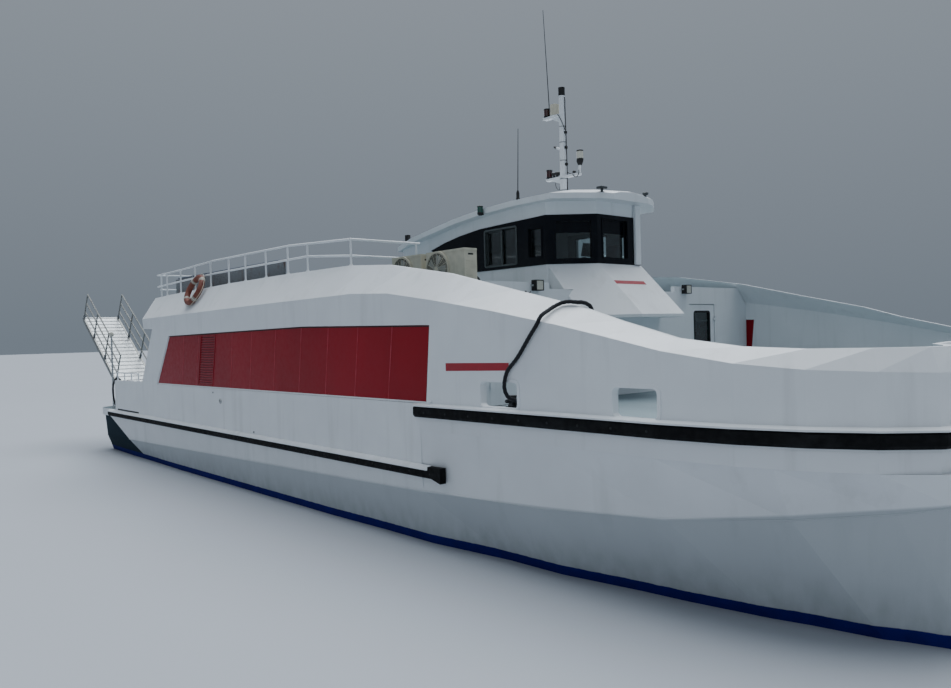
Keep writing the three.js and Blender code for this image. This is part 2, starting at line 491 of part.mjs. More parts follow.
// the end flares out: x, depth, z from, z to
const FENDER_END = [[4440, 84, 1050, 1190], [4760, 110, 980, 1200]];
const flare = loft(FENDER_END.map(([x, d, z0, z1]) => [[x, SIDE + GAP, z0], [x, SIDE + d, z0],
  [x, SIDE + d, z1], [x, SIDE + GAP, z1]]));
pair('fender_low', join(lowFender, flare), 'black', 0.8);
const fenderRows = [[4140, SIDE, 0, -1], ...BOW_EDGE.slice(0, 11)];
const SHEER = [[4140, 0], [7900, 30], [11000, 45]];
pair('fender_bow', loft(fenderRows.map(([x, y, nx, ny]) => {
  const at = (d, z) => [x - nx * d, y - ny * d, z + read(SHEER, x)];
  return [at(GAP, 1880), at(60, 1890), at(90, 1925), at(90, 2025), at(60, 2062), at(GAP, 2075)];
})), 'black', 0.8);

// Mooring bitts
const bitts = (x, y, deck) => join(box(x - 220, x + 220, y - 100, y + 100, deck + GAP, deck + 16),
  ...[-120, 120].flatMap((d) => [rod([x + d, y, deck + 10], [x + d, y, deck + 330], 52, 8),
    rod([x + d, y, deck + 325], [x + d, y, deck + 350], 68, 8)]),
  rod([x - 190, y, deck + 210], [x + 190, y, deck + 210], 22, 6));
pair('bow_bitts', bitts(5950, 4130, FOREDECK), 'grey', 0.6, 0.5);
pair('stern_bitts', bitts(-9560, 4210, MAIN_DECK), 'grey', 0.6, 0.5);

// Shaft brackets under the hulls
const hullSolid = loft(HULL.map(hullRing)).translate(0, 0, -GAP);
pair('shaft_bracket', cut(join(rod([-9750, SHAFT_Y, SHAFT_Z], [-9560, SHAFT_Y, SHAFT_Z], 82, 16),
  box(-9735, -9585, SHAFT_Y - 17, SHAFT_Y + 17, SHAFT_Z + 50, -450)), hullSolid,
rod([-9800, SHAFT_Y, SHAFT_Z], [-9500, SHAFT_Y, SHAFT_Z], 44, 16)), 'bronze', 0.5, 0.7);

// Propellers, each with its shaft
function blade(turn) {
  // radius, half chord, pitch angle in degrees
  const rows = [[55, 55, 62], [140, 105, 48], [240, 130, 36], [330, 105, 29], [PROP_R - 6, 40, 26]];
  return loft(rows.map(([r, c, deg]) => {
    const t = THREE.MathUtils.degToRad(deg), ax = Math.sin(t), ay = Math.cos(t), h = 9;
    return [[-c * ax, -c * ay, r], [-h * ay, h * ax, r], [c * ax, c * ay, r], [h * ay, -h * ax, r]];
  })).rotateX(turn);
}
const propeller = join(rod([PROP_X - 110, 0, 0], [PROP_X + 110, 0, 0], 78, 16, 62),
  rod([PROP_X - 150, 0, 0], [PROP_X - 105, 0, 0], 40, 12),
  rod([PROP_X + 100, 0, 0], [SHAFT_END, 0, 0], 35, 12),
  ...[0, 1, 2, 3].map((i) => blade((i * Math.PI) / 2 + 0.4).translate(PROP_X, 0, 0)))
  .translate(0, SHAFT_Y, SHAFT_Z);
pair('propeller', propeller, 'bronze', 0.4, 0.8);

// Rudders on stocks that go up into the hulls
const RUDDER_PLAN = [[-10500, 0], [-10580, 26], [RUDDER_X, 32], [-10900, 8], [-10900, -8], [RUDDER_X, -32],
  [-10580, -26]];
pair('rudder', join(alongZ(RUDDER_PLAN, -1400, -640),
  rod([RUDDER_X, 0, -650], [RUDDER_X, 0, 120], 33, 12)).translate(0, SHAFT_Y, 0), 'steel', 0.5, 0.5);

// Stern gangway, raised as it is carried at sea, and the lugs that it turns on
const RAMP = { x: -10150, z: 1450, y0: -4150, y1: -3070, length: 4560, lift: 32 };
const lugs = [RAMP.y0 - 40, RAMP.y1 + 15].map((y) => alongY([[RAMP.x - 110, MAIN_DECK + GAP],
  [RAMP.x + 110, MAIN_DECK + GAP], [RAMP.x + 45, 1510], [RAMP.x - 45, 1510]], y, y + 25));
const hingePin = rod([RAMP.x, RAMP.y0 - 45, RAMP.z], [RAMP.x, RAMP.y1 + 45, RAMP.z], 20, 12);
add('gangway_hinge', join(...lugs, hingePin), 'steel', 0.5, 0.5);
const rampParts = [box(-RAMP.length, -60, RAMP.y0 + 20, RAMP.y1 - 20, 10, 40),
  rod([0, RAMP.y0, 0], [0, RAMP.y1, 0], 50, 16)];
for (const y of [RAMP.y0, RAMP.y1 - 45]) {
  rampParts.push(alongY([[-RAMP.length, -10], [-RAMP.length + 150, -60], [-300, -75], [0, -45], [0, 45],
    [-RAMP.length, 60]], y, y + 45));
  const c = y + 22;
  const stations = [900, 2100, 3300, 4480];   // posts, along the gangway
  for (const s of stations) rampParts.push(rod([-s, c, 0], [-s, c, 920], RAIL_R));
  for (const z of [920, 610, 300]) {
    rampParts.push(rod([-stations[0] + 12, c, z], [-stations[3] - 12, c, z], RAIL_R));
  }
}
add('stern_gangway', cut(join(...rampParts), rod([0, RAMP.y0 - 50, 0], [0, RAMP.y1 + 50, 0], 27, 16))
  .rotateY(THREE.MathUtils.degToRad(RAMP.lift)).translate(RAMP.x, 0, RAMP.z), 'steel', 0.5, 0.3);

// Bow gate between the bulwark ends, hinged at its port edge
const GATE = { x: 10400, y: 1112, half: 1100 };
add('bow_gate', join(box(10335, 10385, -GATE.half, GATE.y - 10, FOREDECK + 30, 2850),
  ...[2060, 2640].map((z) => rod([GATE.x, GATE.y, z], [GATE.x, GATE.y, z + 120], 17, 10)),
  ...[2100, 2680].map((z) => box(10380, GATE.x, GATE.y - 70, GATE.y, z, z + 40))), 'white');

// Saloon doors: a sliding one aft, two hinged ones at the front
add('saloon_door_aft', cut(box(-7036, -6990, -530, 530, 1240, 3335),
  box(-7100, -6900, -400, 400, 2100, 3150)), 'white');
const leaf = join(cut(box(fx - 55, fx - 10, DOOR.y0 + 12, DOOR.y1 - 12, DOOR.z0 + 12, DOOR.z1 - 12),
  box(STEP_X - 20, fx + 20, DOOR.y0 + 180, DOOR.y1 - 180, 2700, 3400)),
...[2200, 3200].map((z) => rod([fx + 20, DOOR.y1 - 8, z], [fx + 20, DOOR.y1 - 8, z + 110], 12, 8)),
...[2230, 3230].map((z) => box(fx - 15, fx + 20, DOOR.y1 - 60, DOOR.y1 - 8, z, z + 40)));
pair('saloon_door_front', leaf, 'white');

// Lifebuoy on the coaming, leaning back on the middle rail
const buoy = new THREE.TorusGeometry(320, 68, 8, 20).rotateX(THREE.MathUtils.degToRad(-65))
  .translate(-4670, 4214, 4250);
add('lifebuoy', mirrored(mergeVertices(new THREE.BufferGeometry().copy(buoy).deleteAttribute('normal')
  .deleteAttribute('uv'), 1e-3)), 'orange', 0.7);

// Mooring ropes, draped over the bulwarks
function rope(rows, r, steps) {
  const path = new THREE.CatmullRomCurve3(rows.map((p) => new THREE.Vector3(...p)), false, 'centripetal');
  const ring = new THREE.Shape(Array.from({ length: 8 }, (_, i) => new THREE.Vector2(
    r * Math.cos((i * Math.PI) / 4), r * Math.sin((i * Math.PI) / 4))));
  return new THREE.ExtrudeGeometry(ring, { extrudePath: path, steps, bevelEnabled: false });
}
const ROPE_R = 27;
// x, y, z along each rope
const BOW_ROPE = [[6130, -4255, 2190], [6110, -4330, 2210], [6075, -4430, 2250], [6062, -4490, 2370],
  [6108, -4490, 2571], [6315, -4490, 2771], [6548, -4490, 3043], [6672, -4490, 3182], [6702, -4452, 3276],
  [6696, -4311, 3348], [6700, -4200, 3399], [6740, -4112, 3440], [6820, -4072, 3452], [6920, -4040, 3442],
  [7000, -3986, 3432], [7050, -3926, 3380], [7070, -3900, 3150], [7080, -3885, 2500], [7090, -3870, 2060],
  [7170, -3810, 1945], [7400, -3730, 1930], [8000, -3600, 1930]];
const STERN_ROPE = [[-9790, -4210, 1290], [-9830, -4270, 1650], [-9850, -4318, 1950], [-9870, -4343, 2052],
  [-9905, -4410, 2074], [-10060, -4430, 1990], [-10300, -4400, 1790], [-10420, -4360, 1560],
  [-10380, -4330, 1340], [-10250, -4310, 1250], [-10050, -4290, 1234], [-9900, -4240, 1233]];
add('rope_bow', rope(BOW_ROPE, ROPE_R, 44), 'black', 0.9);
add('rope_stern', rope(STERN_ROPE, ROPE_R, 30), 'black', 0.9);

export default ferry;
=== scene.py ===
"""Looks of a passenger ferry: a decked catamaran afloat on its waterline.

Metres. +X runs to the bow, +Y to port, +Z up; the origin is on the waterline, amidships.
"""
import math

import bmesh
import bpy
from mathutils import Matrix, Vector


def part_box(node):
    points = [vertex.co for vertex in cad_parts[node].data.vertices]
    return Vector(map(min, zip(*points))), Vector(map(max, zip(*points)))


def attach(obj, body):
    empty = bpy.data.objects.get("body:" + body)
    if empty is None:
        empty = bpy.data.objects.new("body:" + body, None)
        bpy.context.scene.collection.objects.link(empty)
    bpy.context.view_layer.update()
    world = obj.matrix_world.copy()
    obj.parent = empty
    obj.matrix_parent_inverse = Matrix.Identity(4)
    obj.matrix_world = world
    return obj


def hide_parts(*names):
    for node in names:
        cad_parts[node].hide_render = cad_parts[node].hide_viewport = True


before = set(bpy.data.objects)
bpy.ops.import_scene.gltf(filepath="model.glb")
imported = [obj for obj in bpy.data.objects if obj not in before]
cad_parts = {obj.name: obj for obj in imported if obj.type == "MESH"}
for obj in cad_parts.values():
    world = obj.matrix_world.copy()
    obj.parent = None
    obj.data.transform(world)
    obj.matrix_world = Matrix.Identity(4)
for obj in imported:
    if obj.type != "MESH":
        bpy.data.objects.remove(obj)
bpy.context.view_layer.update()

bl_info = {
    "name": "Passenger Ferry Finish",
    "version": (1, 0, 0),
    "blender": (4, 5, 0),
    "location": "View3D > Sidebar > Ferry",
    "description": "Paints the ferry's frame and fits its windows, lamps, seats, rails, ropes and deck gear",
    "category": "Object",
}

SHIP = "ferry"               # the body that carries everything fixed
SIDES = (("port", 1), ("starboard", -1))
FORWARD, AFT, PORT, STARBOARD, UP = (1, 0, 0), (-1, 0, 0), (0, 1, 0), (0, -1, 0), (0, 0, 1)
MM_IN_METRE = 1000.0

# Camera of the reference view, and the round floor under it
EYE = (13.6, -11.494, 3.1)
HEADING = 0.7140
PITCH = -0.0144
ROLL = 0.0258
LENS = 30.39
FLOOR_RADIUS = 260

# Faces of the frame that the fittings sit on
SIDE_Y = 4.45
PANEL_Y = 4.428
HOUSE_FRONT = 4.3744
CORNER_MID = (4.075, 0.95)   # middle of the angled facet
CORNER_NORMAL = (0.7755, 0.6314)
SKIN = 0.0144                # window band, proud of the wheelhouse wall
SUN_RIM = 0.0245             # sun band, in from the edge of its pane
MAST_X = 3.05
MAIN_DECK = 1.2
UPPER_DECK = 3.8
SHEER = ((4.14, 0.0), (7.9, 0.03), (11.0, 0.045))
# bow edge of the foredeck, port side: x, y, outward direction
BOW_EDGE = (
    (4.14, 4.45, 0, 1), (4.62, 4.45, 0, 1), (5.78, 4.45, 0, 1), (6.96, 4.45, 0, 1), (7.6, 4.45, 0, 1),
    (8.45, 4.45, 0.05, 1), (9.25, 4.36, 0.17, 0.985), (9.9, 4.18, 0.35, 0.937), (10.45, 3.9, 0.6, 0.8),
    (10.85, 3.54, 0.86, 0.51), (10.95, 3.2, 1, -0.1),
)
COAMING = (
    (-7.73, 4.21), (-6.86, 4.24), (-3.14, 4.31), (-0.5, 4.325), (1.74, 4.31), (2.88, 4.23), (4.43, 3.98),
)
# window panel: x and z of its corners; louvre frame; joints of the film, x at SEAM_Z and lean per metre up
PANEL_OUTLINE = ((-6.64, 2.02), (4.35, 2.085), (4.47, 3.225), (0.74, 3.285), (-5.75, 3.205))
LOUVRE_EDGE = ((-4.051, 2.1), (-3.297, 2.1), (-3.061, 3.17), (-3.815, 3.17))
LOUVRE_ROWS = 19
LOUVRE_PITCH = 0.055
SEAM_Z = 2.65
SEAMS = (
    (-4.919, 0.14), (-4.078, 0.22), (-3.12, 0.22), (-2.285, 0.14), (-1.385, 0.14), (-0.372, 0.14),
    (0.613, 0.14), (1.548, 0.14), (2.479, 0.14), (3.435, 0.14),
)
SIDE_OUTLETS = ((-2.85, 1.78, 0.055), (-3.22, 1.95, 0.016), (-1.29, 1.24, 0.02))   # x, z, radius
MOORING_OPENINGS = ((5.54, 6.27), (7.78, 8.42))
STRIPE = ((4.82, 2.57), (6.11, 2.60), (6.11, 2.70), (4.82, 2.68))
BOLT_PITCH = 0.49            # along the fenders
FLOOD_Y = 2.09
CASE_Y = (-3.3, -3.04)       # condenser casings: front and back, foot and top, fan
CASE_Z = (3.85, 4.44)
FAN_RADIUS = 0.275
CHINE = (
    (-10.9, 4.4, 0.42), (-7.4, 4.42, 0.48), (-3.6, 4.43, 0.6), (1.5, 4.43, 0.72), (4.2, 4.42, 0.8),
    (6.6, 4.39, 0.885), (8.3, 4.25, 1.015), (9.6, 3.94, 1.15), (10.45, 3.56, 1.275), (10.9, 3.35, 1.37),
    (11.084, 3.267, 1.434),
)
BENCH_Z = 4.238              # benches: height of their seats, forward end
BENCH_END = -1.1
# stern gangway: middle of its hinge, and its slope
GANGWAY_HINGE = (-10.15, -3.61, 1.45)
GANGWAY_RISE = 32            # degrees, at rest
RAIL_POSTS = (-6.99, -6.07, -5.16, -4.25, -3.27, -2.44, -1.49, -0.56, 0.21, 1.715)
# seat shell from front edge to back top: depth, height, and how much its sides curl up
SEAT_LINE = (
    (0.20, -0.035, 0.0), (0.21, 0.0, 0.004), (0.19, 0.018, 0.012), (0.0, 0.008, 0.02), (-0.12, 0.012, 0.022),
    (-0.17, 0.045, 0.024), (-0.195, 0.14, 0.022), (-0.21, 0.30, 0.018), (-0.222, 0.42, 0.01),
    (-0.225, 0.44, 0.0),
)
# cables of the mast, each with its point spacing and radius: up the mast, along the forward arm,
# lead off the upper arm, slack under the lower one, a loop at the forward lamp
MAST_CABLES = (
    (((3.23, 0.03, 5.6), (3.2, 0.03, 5.645), (3.138, 0.025, 5.7), (3.132, 0.02, 6.0), (3.126, 0.02, 6.5),
      (3.12, 0.018, 7.0), (3.114, 0.015, 7.4), (3.112, 0.01, 7.56), (3.06, 0.0, 7.6)), 0.05, 0.009),
    (((3.13, 0.02, 6.13), (3.2, 0.035, 6.09), (3.36, 0.035, 6.085), (3.45, 0.03, 6.12), (3.475, 0.0, 6.29)),
     0.03, 0.007),
    (((2.965, -0.045, 7.268), (3.01, -0.07, 7.235), (3.06, -0.071, 7.16), (3.1, -0.05, 7.06),
      (3.118, 0.0, 6.94)), 0.02, 0.007),
    (((2.86, 0.0, 6.014), (2.845, -0.01, 5.93), (2.89, -0.015, 5.845), (2.95, -0.02, 5.815),
      (2.972, -0.02, 5.87)), 0.02, 0.005),
    (((3.335, -0.055, 6.05), (3.385, -0.063, 6.0), (3.44, -0.06, 5.985), (3.478, -0.045, 6.04),
      (3.472, -0.034, 6.11)), 0.02, 0.008),
)
STRANDS = 3
# the ropes' routes, the same as the frame's
BOW_ROPE = (
    (6.13, -4.255, 2.19), (6.11, -4.33, 2.21), (6.075, -4.43, 2.25), (6.062, -4.49, 2.37),
    (6.108, -4.49, 2.571), (6.315, -4.49, 2.771), (6.548, -4.49, 3.043), (6.672, -4.49, 3.182),
    (6.702, -4.452, 3.276), (6.696, -4.311, 3.348), (6.7, -4.2, 3.399), (6.74, -4.112, 3.44),
    (6.82, -4.072, 3.452), (6.92, -4.04, 3.442), (7.0, -3.986, 3.432), (7.05, -3.926, 3.38),
    (7.07, -3.9, 3.15), (7.08, -3.885, 2.5), (7.09, -3.87, 2.06), (7.17, -3.81, 1.945),
    (7.4, -3.73, 1.93), (8.0, -3.6, 1.93),
)
STERN_ROPE = (
    (-9.79, -4.21, 1.29), (-9.83, -4.27, 1.65), (-9.85, -4.318, 1.95), (-9.87, -4.343, 2.052),
    (-9.905, -4.41, 2.074), (-10.06, -4.43, 1.99), (-10.3, -4.4, 1.79), (-10.42, -4.36, 1.56),
    (-10.38, -4.33, 1.34), (-10.25, -4.31, 1.25), (-10.05, -4.29, 1.234), (-9.9, -4.24, 1.233),
)
# finish of each solid, by the start of its name
NODE_FINISH = (
    ("hull_", "hull"), ("engine_", "engine"), ("wet_deck", "enamel"), ("main_deck", "deck"),
    ("foredeck", "deck"), ("side_shell", "enamel"), ("window_panel", "film"), ("bow_bulwark", "enamel"),
    ("upper_deck", "deck"), ("aft_bulkhead", "enamel"), ("front_bulkhead", "enamel"),
    ("wheelhouse_shell", "enamel"), ("wheelhouse_window_band", "band"), ("wheelhouse_glass", "glass"),
    ("wheelhouse_roof", "enamel"), ("wheelhouse_floor", "deck"), ("helm_console", "console"),
    ("apron", "enamel"), ("mast", "enamel"), ("antenna", "whip"), ("condenser", "casing"),
    ("upper_rail", "enamel"), ("bench", "zinc"), ("stair", "enamel"), ("fender", "rubber"),
    ("bow_bitts", "bitt"), ("stern_bitts", "bitt"), ("shaft_bracket", "hull"), ("propeller", "bronze"),
    ("rudder", "hull"), ("gangway_hinge", "zinc"), ("stern_gangway", "gangway"), ("bow_gate", "enamel"),
    ("saloon_door", "enamel"), ("lifebuoy", "buoy"), ("rope", "rope"),
)


def to_linear(text):
    """Linear RGBA from an sRGB hex value."""
    parts = [int(text[i:i + 2], 16) / 255 for i in (0, 2, 4)]
    return tuple(c / 12.92 if c <= 0.04045 else ((c + 0.055) / 1.055) ** 2.4 for c in parts) + (1.0,)


def read(rows, x):
    """Value at x off a table of (x, value) rows."""
    if x <= rows[0][0]:
        return rows[0][1]
    for (x0, v0), (x1, v1) in zip(rows, rows[1:]):
        if x <= x1:
            return v0 + (v1 - v0) * (x - x0) / (x1 - x0)
    return rows[-1][1]


# Sizes and colours a user would change
def colour(name, text, note):
    return bpy.props.FloatVectorProperty(
        name=name, description=note, subtype="COLOR", size=4, min=0, max=1, default=to_linear(text))


def length(name, value, note):
    return bpy.props.FloatProperty(name=name, description=note, default=value, min=0, unit="LENGTH")


class FerryPaint(bpy.types.PropertyGroup):
    """Colours of the ferry's finishes"""
    topside: colour("Topsides", "e3e7ea", "Enamel of the upperworks and the topsides")
    antifouling: colour("Antifouling", "050d70", "Bottom paint below the waterline")
    stern_patch: colour("Stern patch", "062330", "Bottom paint carried up at the stern")
    film: colour("Window film", "92061c", "Film over the saloon windows")
    stripe: colour("Stripe", "a30a24", "Stripes on the bow and the apron")
    band: colour("Window band", "01050f", "Gloss band round the wheelhouse windows")
    deck: colour("Deck coating", "76858b", "Non-slip coating of the decks")
    rubber: colour("Fender rubber", "08090b", "Extruded rubber of the fenders")
    seat: colour("Seats", "2a3b58", "Moulded seats")
    casing: colour("Condenser casing", "c8c3b0", "Powder coat of the condensers")
    buoy: colour("Lifebuoy", "6c3224", "Sun-faded lifebuoy")
    rope: colour("Rope", "0c0d14", "Mooring ropes")
    floor: colour("Studio floor", "a3a8af", "Floor and backdrop of the studio")


class FerrySizes(bpy.types.PropertyGroup):
    """Sizes of the ferry's fittings"""
    rope_diameter: length("Rope diameter", 0.054, "Mooring rope")
    strand_pitch: length("Strand pitch", 0.19, "Length of one turn of a rope's strands")
    seam_width: length("Seam width", 0.014, "Joint strip between two window films")
    frame_width: length("Window frame width", 0.018, "Flange round a wheelhouse window")
    gasket_width: length("Gasket width", 0.012, "Rubber round a window")
    seat_pitch: length("Seat pitch", 0.46, "Seat to seat along a bench")
    grille_pitch: length("Grille pitch", 0.022, "Ring to ring of a fan guard")
    flange_radius: length("Post flange radius", 0.038, "Foot of a rail post")
    cap_height: length("Fender cap height", 0.042, "White cap over the fenders")


# Nodes and materials
def add_node(tree, kind, inputs=None, output=0, **settings):
    """Adds a node and returns one of its outputs: settings are its attributes, inputs its sockets,
    each a value or an output to link."""
    node = tree.nodes.new("ShaderNode" + kind)
    for key, value in settings.items():
        setattr(node, key, value)
    for key, value in (inputs or {}).items():
        if isinstance(value, bpy.types.NodeSocket):
            tree.links.new(value, node.inputs[key])
        else:
            node.inputs[key].default_value = value
    return node.outputs[output]


def shade(tone, factor):
    return tuple(min(1.0, c * factor) for c in tone[:3]) + (1.0,)


class Finish:
    """A material in the making: its shader, whose plain sockets are set, and the object's coordinates."""

    def __init__(self, name, **sockets):
        self.material = bpy.data.materials.new(name)
        self.material.use_nodes = True
        self.tree = self.material.node_tree
        self.shader = self.tree.nodes["Principled BSDF"]
        for key, value in sockets.items():
            self.shader.inputs[key.replace("_", " ")].default_value = value
        self.place = add_node(self.tree, "TexCoord", output="Object")

    def grain(self, size_mm, stretch=(1, 1, 1), detail=3.0):
        """Noise whose lumps measure size_mm, drawn out along an axis where stretch is below 1."""
        spread = add_node(self.tree, "Mapping", {"Vector": self.place, "Scale": stretch})
        return add_node(self.tree, "TexNoise", {
            "Vector": spread, "Scale": MM_IN_METRE / size_mm, "Detail": detail, "Roughness": 0.55})

    def patches(self, size_mm, low, high, least=0.0, most=1.0, stretch=(1, 1, 1), detail=3.0):
        """Soft patches: least where grain is under low, most where it is over high."""
        return add_node(self.tree, "MapRange", {
            "Value": self.grain(size_mm, stretch, detail), "From Min": low, "From Max": high,
            "To Min": least, "To Max": most})

    def coats(self, base, *coats):
        """Coats over a base colour, each a share from 0 to 1 and the colour it mixes in."""
        for share, tone in coats:
            base = add_node(self.tree, "Mix", {0: share, 6: base, 7: tone}, 2, data_type="RGBA")
        return base

    def complete(self, tone, rough=None, relief=None, depth_mm=0.0, strength=0.6):
        """The material with its colour, roughness and relief; relief is a height from 0 to 1."""
        found = {"Base Color": tone, "Roughness": rough}
        if relief is not None:
            found["Normal"] = add_node(self.tree, "Bump", {
                "Height": relief, "Distance": depth_mm / MM_IN_METRE, "Strength": strength})
        for key, output in found.items():
            if output is not None:
                self.tree.links.new(output, self.shader.inputs[key])
        return self.material


def weathered(f, base, streak_mm=260, dirt="8c8f86", amount=0.20):
    """Paint colour with broad blotches and thin runs of dirt down its face."""
    runs = f.patches(streak_mm, 0.55, 0.78, 0.0, amount, (1, 1, 0.09), 4.0)
    return f.coats(base, (f.patches(900, 0.35, 0.75), shade(base, 0.93)), (runs, to_linear(dirt)))


def topside_enamel(paint):
    # Two-pack polyurethane enamel sprayed on welded plate: satin white, plates a little hollow
    # between frames about 0.5 m apart, runs of grime down the sides
    f = Finish("marine polyurethane enamel, white", Roughness=0.38, IOR=1.5)
    return f.complete(weathered(f, paint.topside), f.patches(300, 0.3, 0.7, 0.32, 0.46),
                      f.grain(600, (1, 1, 0.8), 2.0), 7.0, 0.35)


def hull_enamel(paint):
    # The same enamel with bottom paint below the waterline and carried up at the stern;
    # a green-grey band of growth and scum stands over the waterline
    f = Finish("marine enamel and antifouling", Roughness=0.42, Specular_IOR_Level=0.25)
    tree = f.tree
    x = add_node(tree, "SeparateXYZ", {0: f.place}, "X")
    z = x.node.outputs["Z"]
    wavy = add_node(tree, "Math", {0: f.grain(120), 1: 0.02, 2: z}, operation="MULTIPLY_ADD")
    # painted shade, with some salt and grime, greys the plating under the chine, where the side faces down;
    # the chine rises from the stern to the stem
    chine = 0.42
    for aft, forward, rise in ((-10.9, 4.2, 0.38), (4.2, 8.3, 0.215), (8.3, 11.1, 0.425)):
        climb = add_node(tree, "MapRange", {"Value": x, "From Min": aft, "From Max": forward, "To Max": rise})
        chine = add_node(tree, "Math", {0: chine, 1: climb})
    below = add_node(tree, "Math", {0: chine, 1: z}, operation="SUBTRACT")
    under = add_node(tree, "MapRange", {"Value": below, "From Max": 0.03, "To Max": 0.6})
    scum = add_node(tree, "MapRange", {
        "Value": wavy, "From Min": 0.17, "From Max": 0.60, "To Min": 0.25, "To Max": 0.0})
    spots = f.patches(180, 0.35, 0.65, stretch=(1, 1, 0.5), detail=5.0)
    spotted = add_node(tree, "Math", {0: scum, 1: spots}, operation="MULTIPLY")
    # the bottom paint rises aft along a line sloping 0.375 m a metre
    ahead = add_node(tree, "Math", {0: x, 1: 10.3})
    line = add_node(tree, "Math", {0: ahead, 1: 0.375, 2: z}, operation="MULTIPLY_ADD")
    at_stern = add_node(tree, "MapRange", {"Value": line, "From Min": 0.955, "From Max": 0.945})
    wet = add_node(tree, "MapRange", {"Value": wavy, "From Min": 0.146, "From Max": 0.138})
    blue = f.coats(paint.antifouling, (f.patches(250, 0.3, 0.7), shade(paint.antifouling, 0.7)))
    # 8d979d under the chine is painted shade with some grime
    tone = f.coats(weathered(f, paint.topside, 300, "7f857c", 0.15), (under, to_linear("8d979d")),
                   (spotted, to_linear("707b72")), (at_stern, paint.stern_patch), (wet, blue))
    low = add_node(tree, "MapRange", {"Value": wavy, "From Min": 0.16, "From Max": 0.13})
    matt = add_node(tree, "Math", {0: low, 1: at_stern}, operation="MAXIMUM")
    rough = add_node(tree, "MapRange", {"Value": matt, "To Min": 0.42, "To Max": 0.85})
    return f.complete(tone, rough, f.grain(700, (1, 1, 0.8), 2.0), 8.0, 0.35)


def window_film(paint):
    # Cast vinyl film on flush acrylic panes: deep red with a satin skin, slightly sun-faded in patches
    f = Finish("cast vinyl film, red", Roughness=0.36, Specular_IOR_Level=0.15)
    faded = f.patches(1300, 0.35, 0.72, stretch=(1, 1, 0.5), detail=4.0)
    return f.complete(f.coats(paint.film, (faded, shade(paint.film, 0.78))),
                      f.patches(90, 0.3, 0.7, 0.3, 0.46), f.grain(850), 3.0, 0.3)


def seam_tape(paint):
    # Overlap of two films, paler where the adhesive edge has lifted
    f = Finish("vinyl film overlap", Roughness=0.5)
    lifted = f.patches(60, 0.3, 0.7, stretch=(1, 1, 0.3))
    return f.complete(f.coats(shade(paint.film, 1.15), (lifted, to_linear("c2495a"))))


def plain_coat(name, base, rough=0.4):
    # Cut film or a sprayed fitting of one colour, with a slight mottle
    f = Finish(name, Roughness=rough)
    mottled = f.coats(base, (f.patches(110, 0.35, 0.7), shade(base, 0.85)))
    return f.complete(mottled, None, f.grain(25), 0.4, 0.3)


def gloss_band(paint):
    # Gloss black enamel round the wheelhouse glass, faint dust on it
    f = Finish("gloss black enamel", Roughness=0.2, Specular_IOR_Level=0.2)
    dust = f.patches(200, 0.5, 0.8, 0.0, 0.05, (1, 1, 0.3), 4.0)
    return f.complete(f.coats(paint.band, (dust, to_linear("5a6468"))), f.patches(150, 0.3, 0.8, 0.14, 0.28))


def tinted_glass():
    # Laminated safety glass, grey-green, clear enough to see the far windows
    f = Finish("laminated tinted glass", Roughness=0.03, IOR=1.5, Transmission_Weight=1.0)
    smear = f.patches(240, 0.5, 0.85, stretch=(1, 1, 0.4), detail=4.0)
    return f.complete(f.coats(to_linear("d7e3e4"), (smear, to_linear("c0d0d1"))),
                      f.patches(60, 0.4, 0.8, 0.015, 0.07))


def deck_coating(paint):
    # Sanded two-pack deck coating: grit of about 1 mm, drawn at 9 mm so that it shows, paler where feet go;
    # the edges and the underside of the deck plate are white enamel
    f = Finish("non-slip deck coating", Roughness=0.85)
    tree, deck = f.tree, paint.deck
    upward = add_node(tree, "SeparateXYZ", {0: f.place.node.outputs["Normal"]}, "Z")
    flat = add_node(tree, "MapRange", {"Value": upward, "From Min": 0.6, "From Max": 0.8})
    trodden = f.patches(1500, 0.4, 0.7, stretch=(0.6, 1, 1))
    specks = f.patches(22, 0.55, 0.7, 0.0, 0.35, detail=2.0)
    coated = f.coats(deck, (trodden, shade(deck, 1.25)), (specks, shade(deck, 0.6)))
    rough = add_node(tree, "MapRange", {"Value": flat, "To Min": 0.4, "To Max": 0.85})
    grit = add_node(tree, "Math", {0: f.grain(9, detail=2.0), 1: flat}, operation="MULTIPLY")
    return f.complete(f.coats(weathered(f, paint.topside), (flat, coated)), rough, grit, 1.2, 0.7)


def fender_rubber(paint):
    # Extruded rubber: near black, chalked grey and scuffed along its length by berthing
    f = Finish("extruded fender rubber", Roughness=0.78, Specular_IOR_Level=0.2)
    chalk = f.patches(160, 0.5, 0.85, 0.0, 0.4, (0.35, 1, 1), 5.0)
    return f.complete(f.coats(paint.rubber, (chalk, to_linear("303336"))), f.patches(70, 0.3, 0.7, 0.62, 0.9),
                      f.grain(34, (0.4, 1, 1), 4.0), 1.8, 0.6)


def galvanised(name="hot-dip galvanised steel", base="8b8f92", rust_share=0.6):
    # Zinc with spangles of 15 to 25 mm, dull, brown rust bleeding at welds
    f = Finish(name, Metallic=0.85, Roughness=0.5)
    spangle = add_node(f.tree, "TexVoronoi", {"Vector": f.place, "Scale": 48.0})   # to the metre
    duller = add_node(f.tree, "MapRange", {"Value": spangle, "From Min": 0.1, "From Max": 0.7})
    rust = f.patches(140, 0.56, 0.72, 0.0, rust_share, (1, 1, 0.5), 5.0)
    tone = f.coats(to_linear(base), (duller, shade(to_linear(base), 0.72)), (rust, to_linear("6b4a35")))
    rough = add_node(f.tree, "MapRange", {"Value": spangle, "From Max": 0.8, "To Min": 0.38, "To Max": 0.62})
    return f.complete(tone, rough, f.grain(18), 0.5, 0.4)


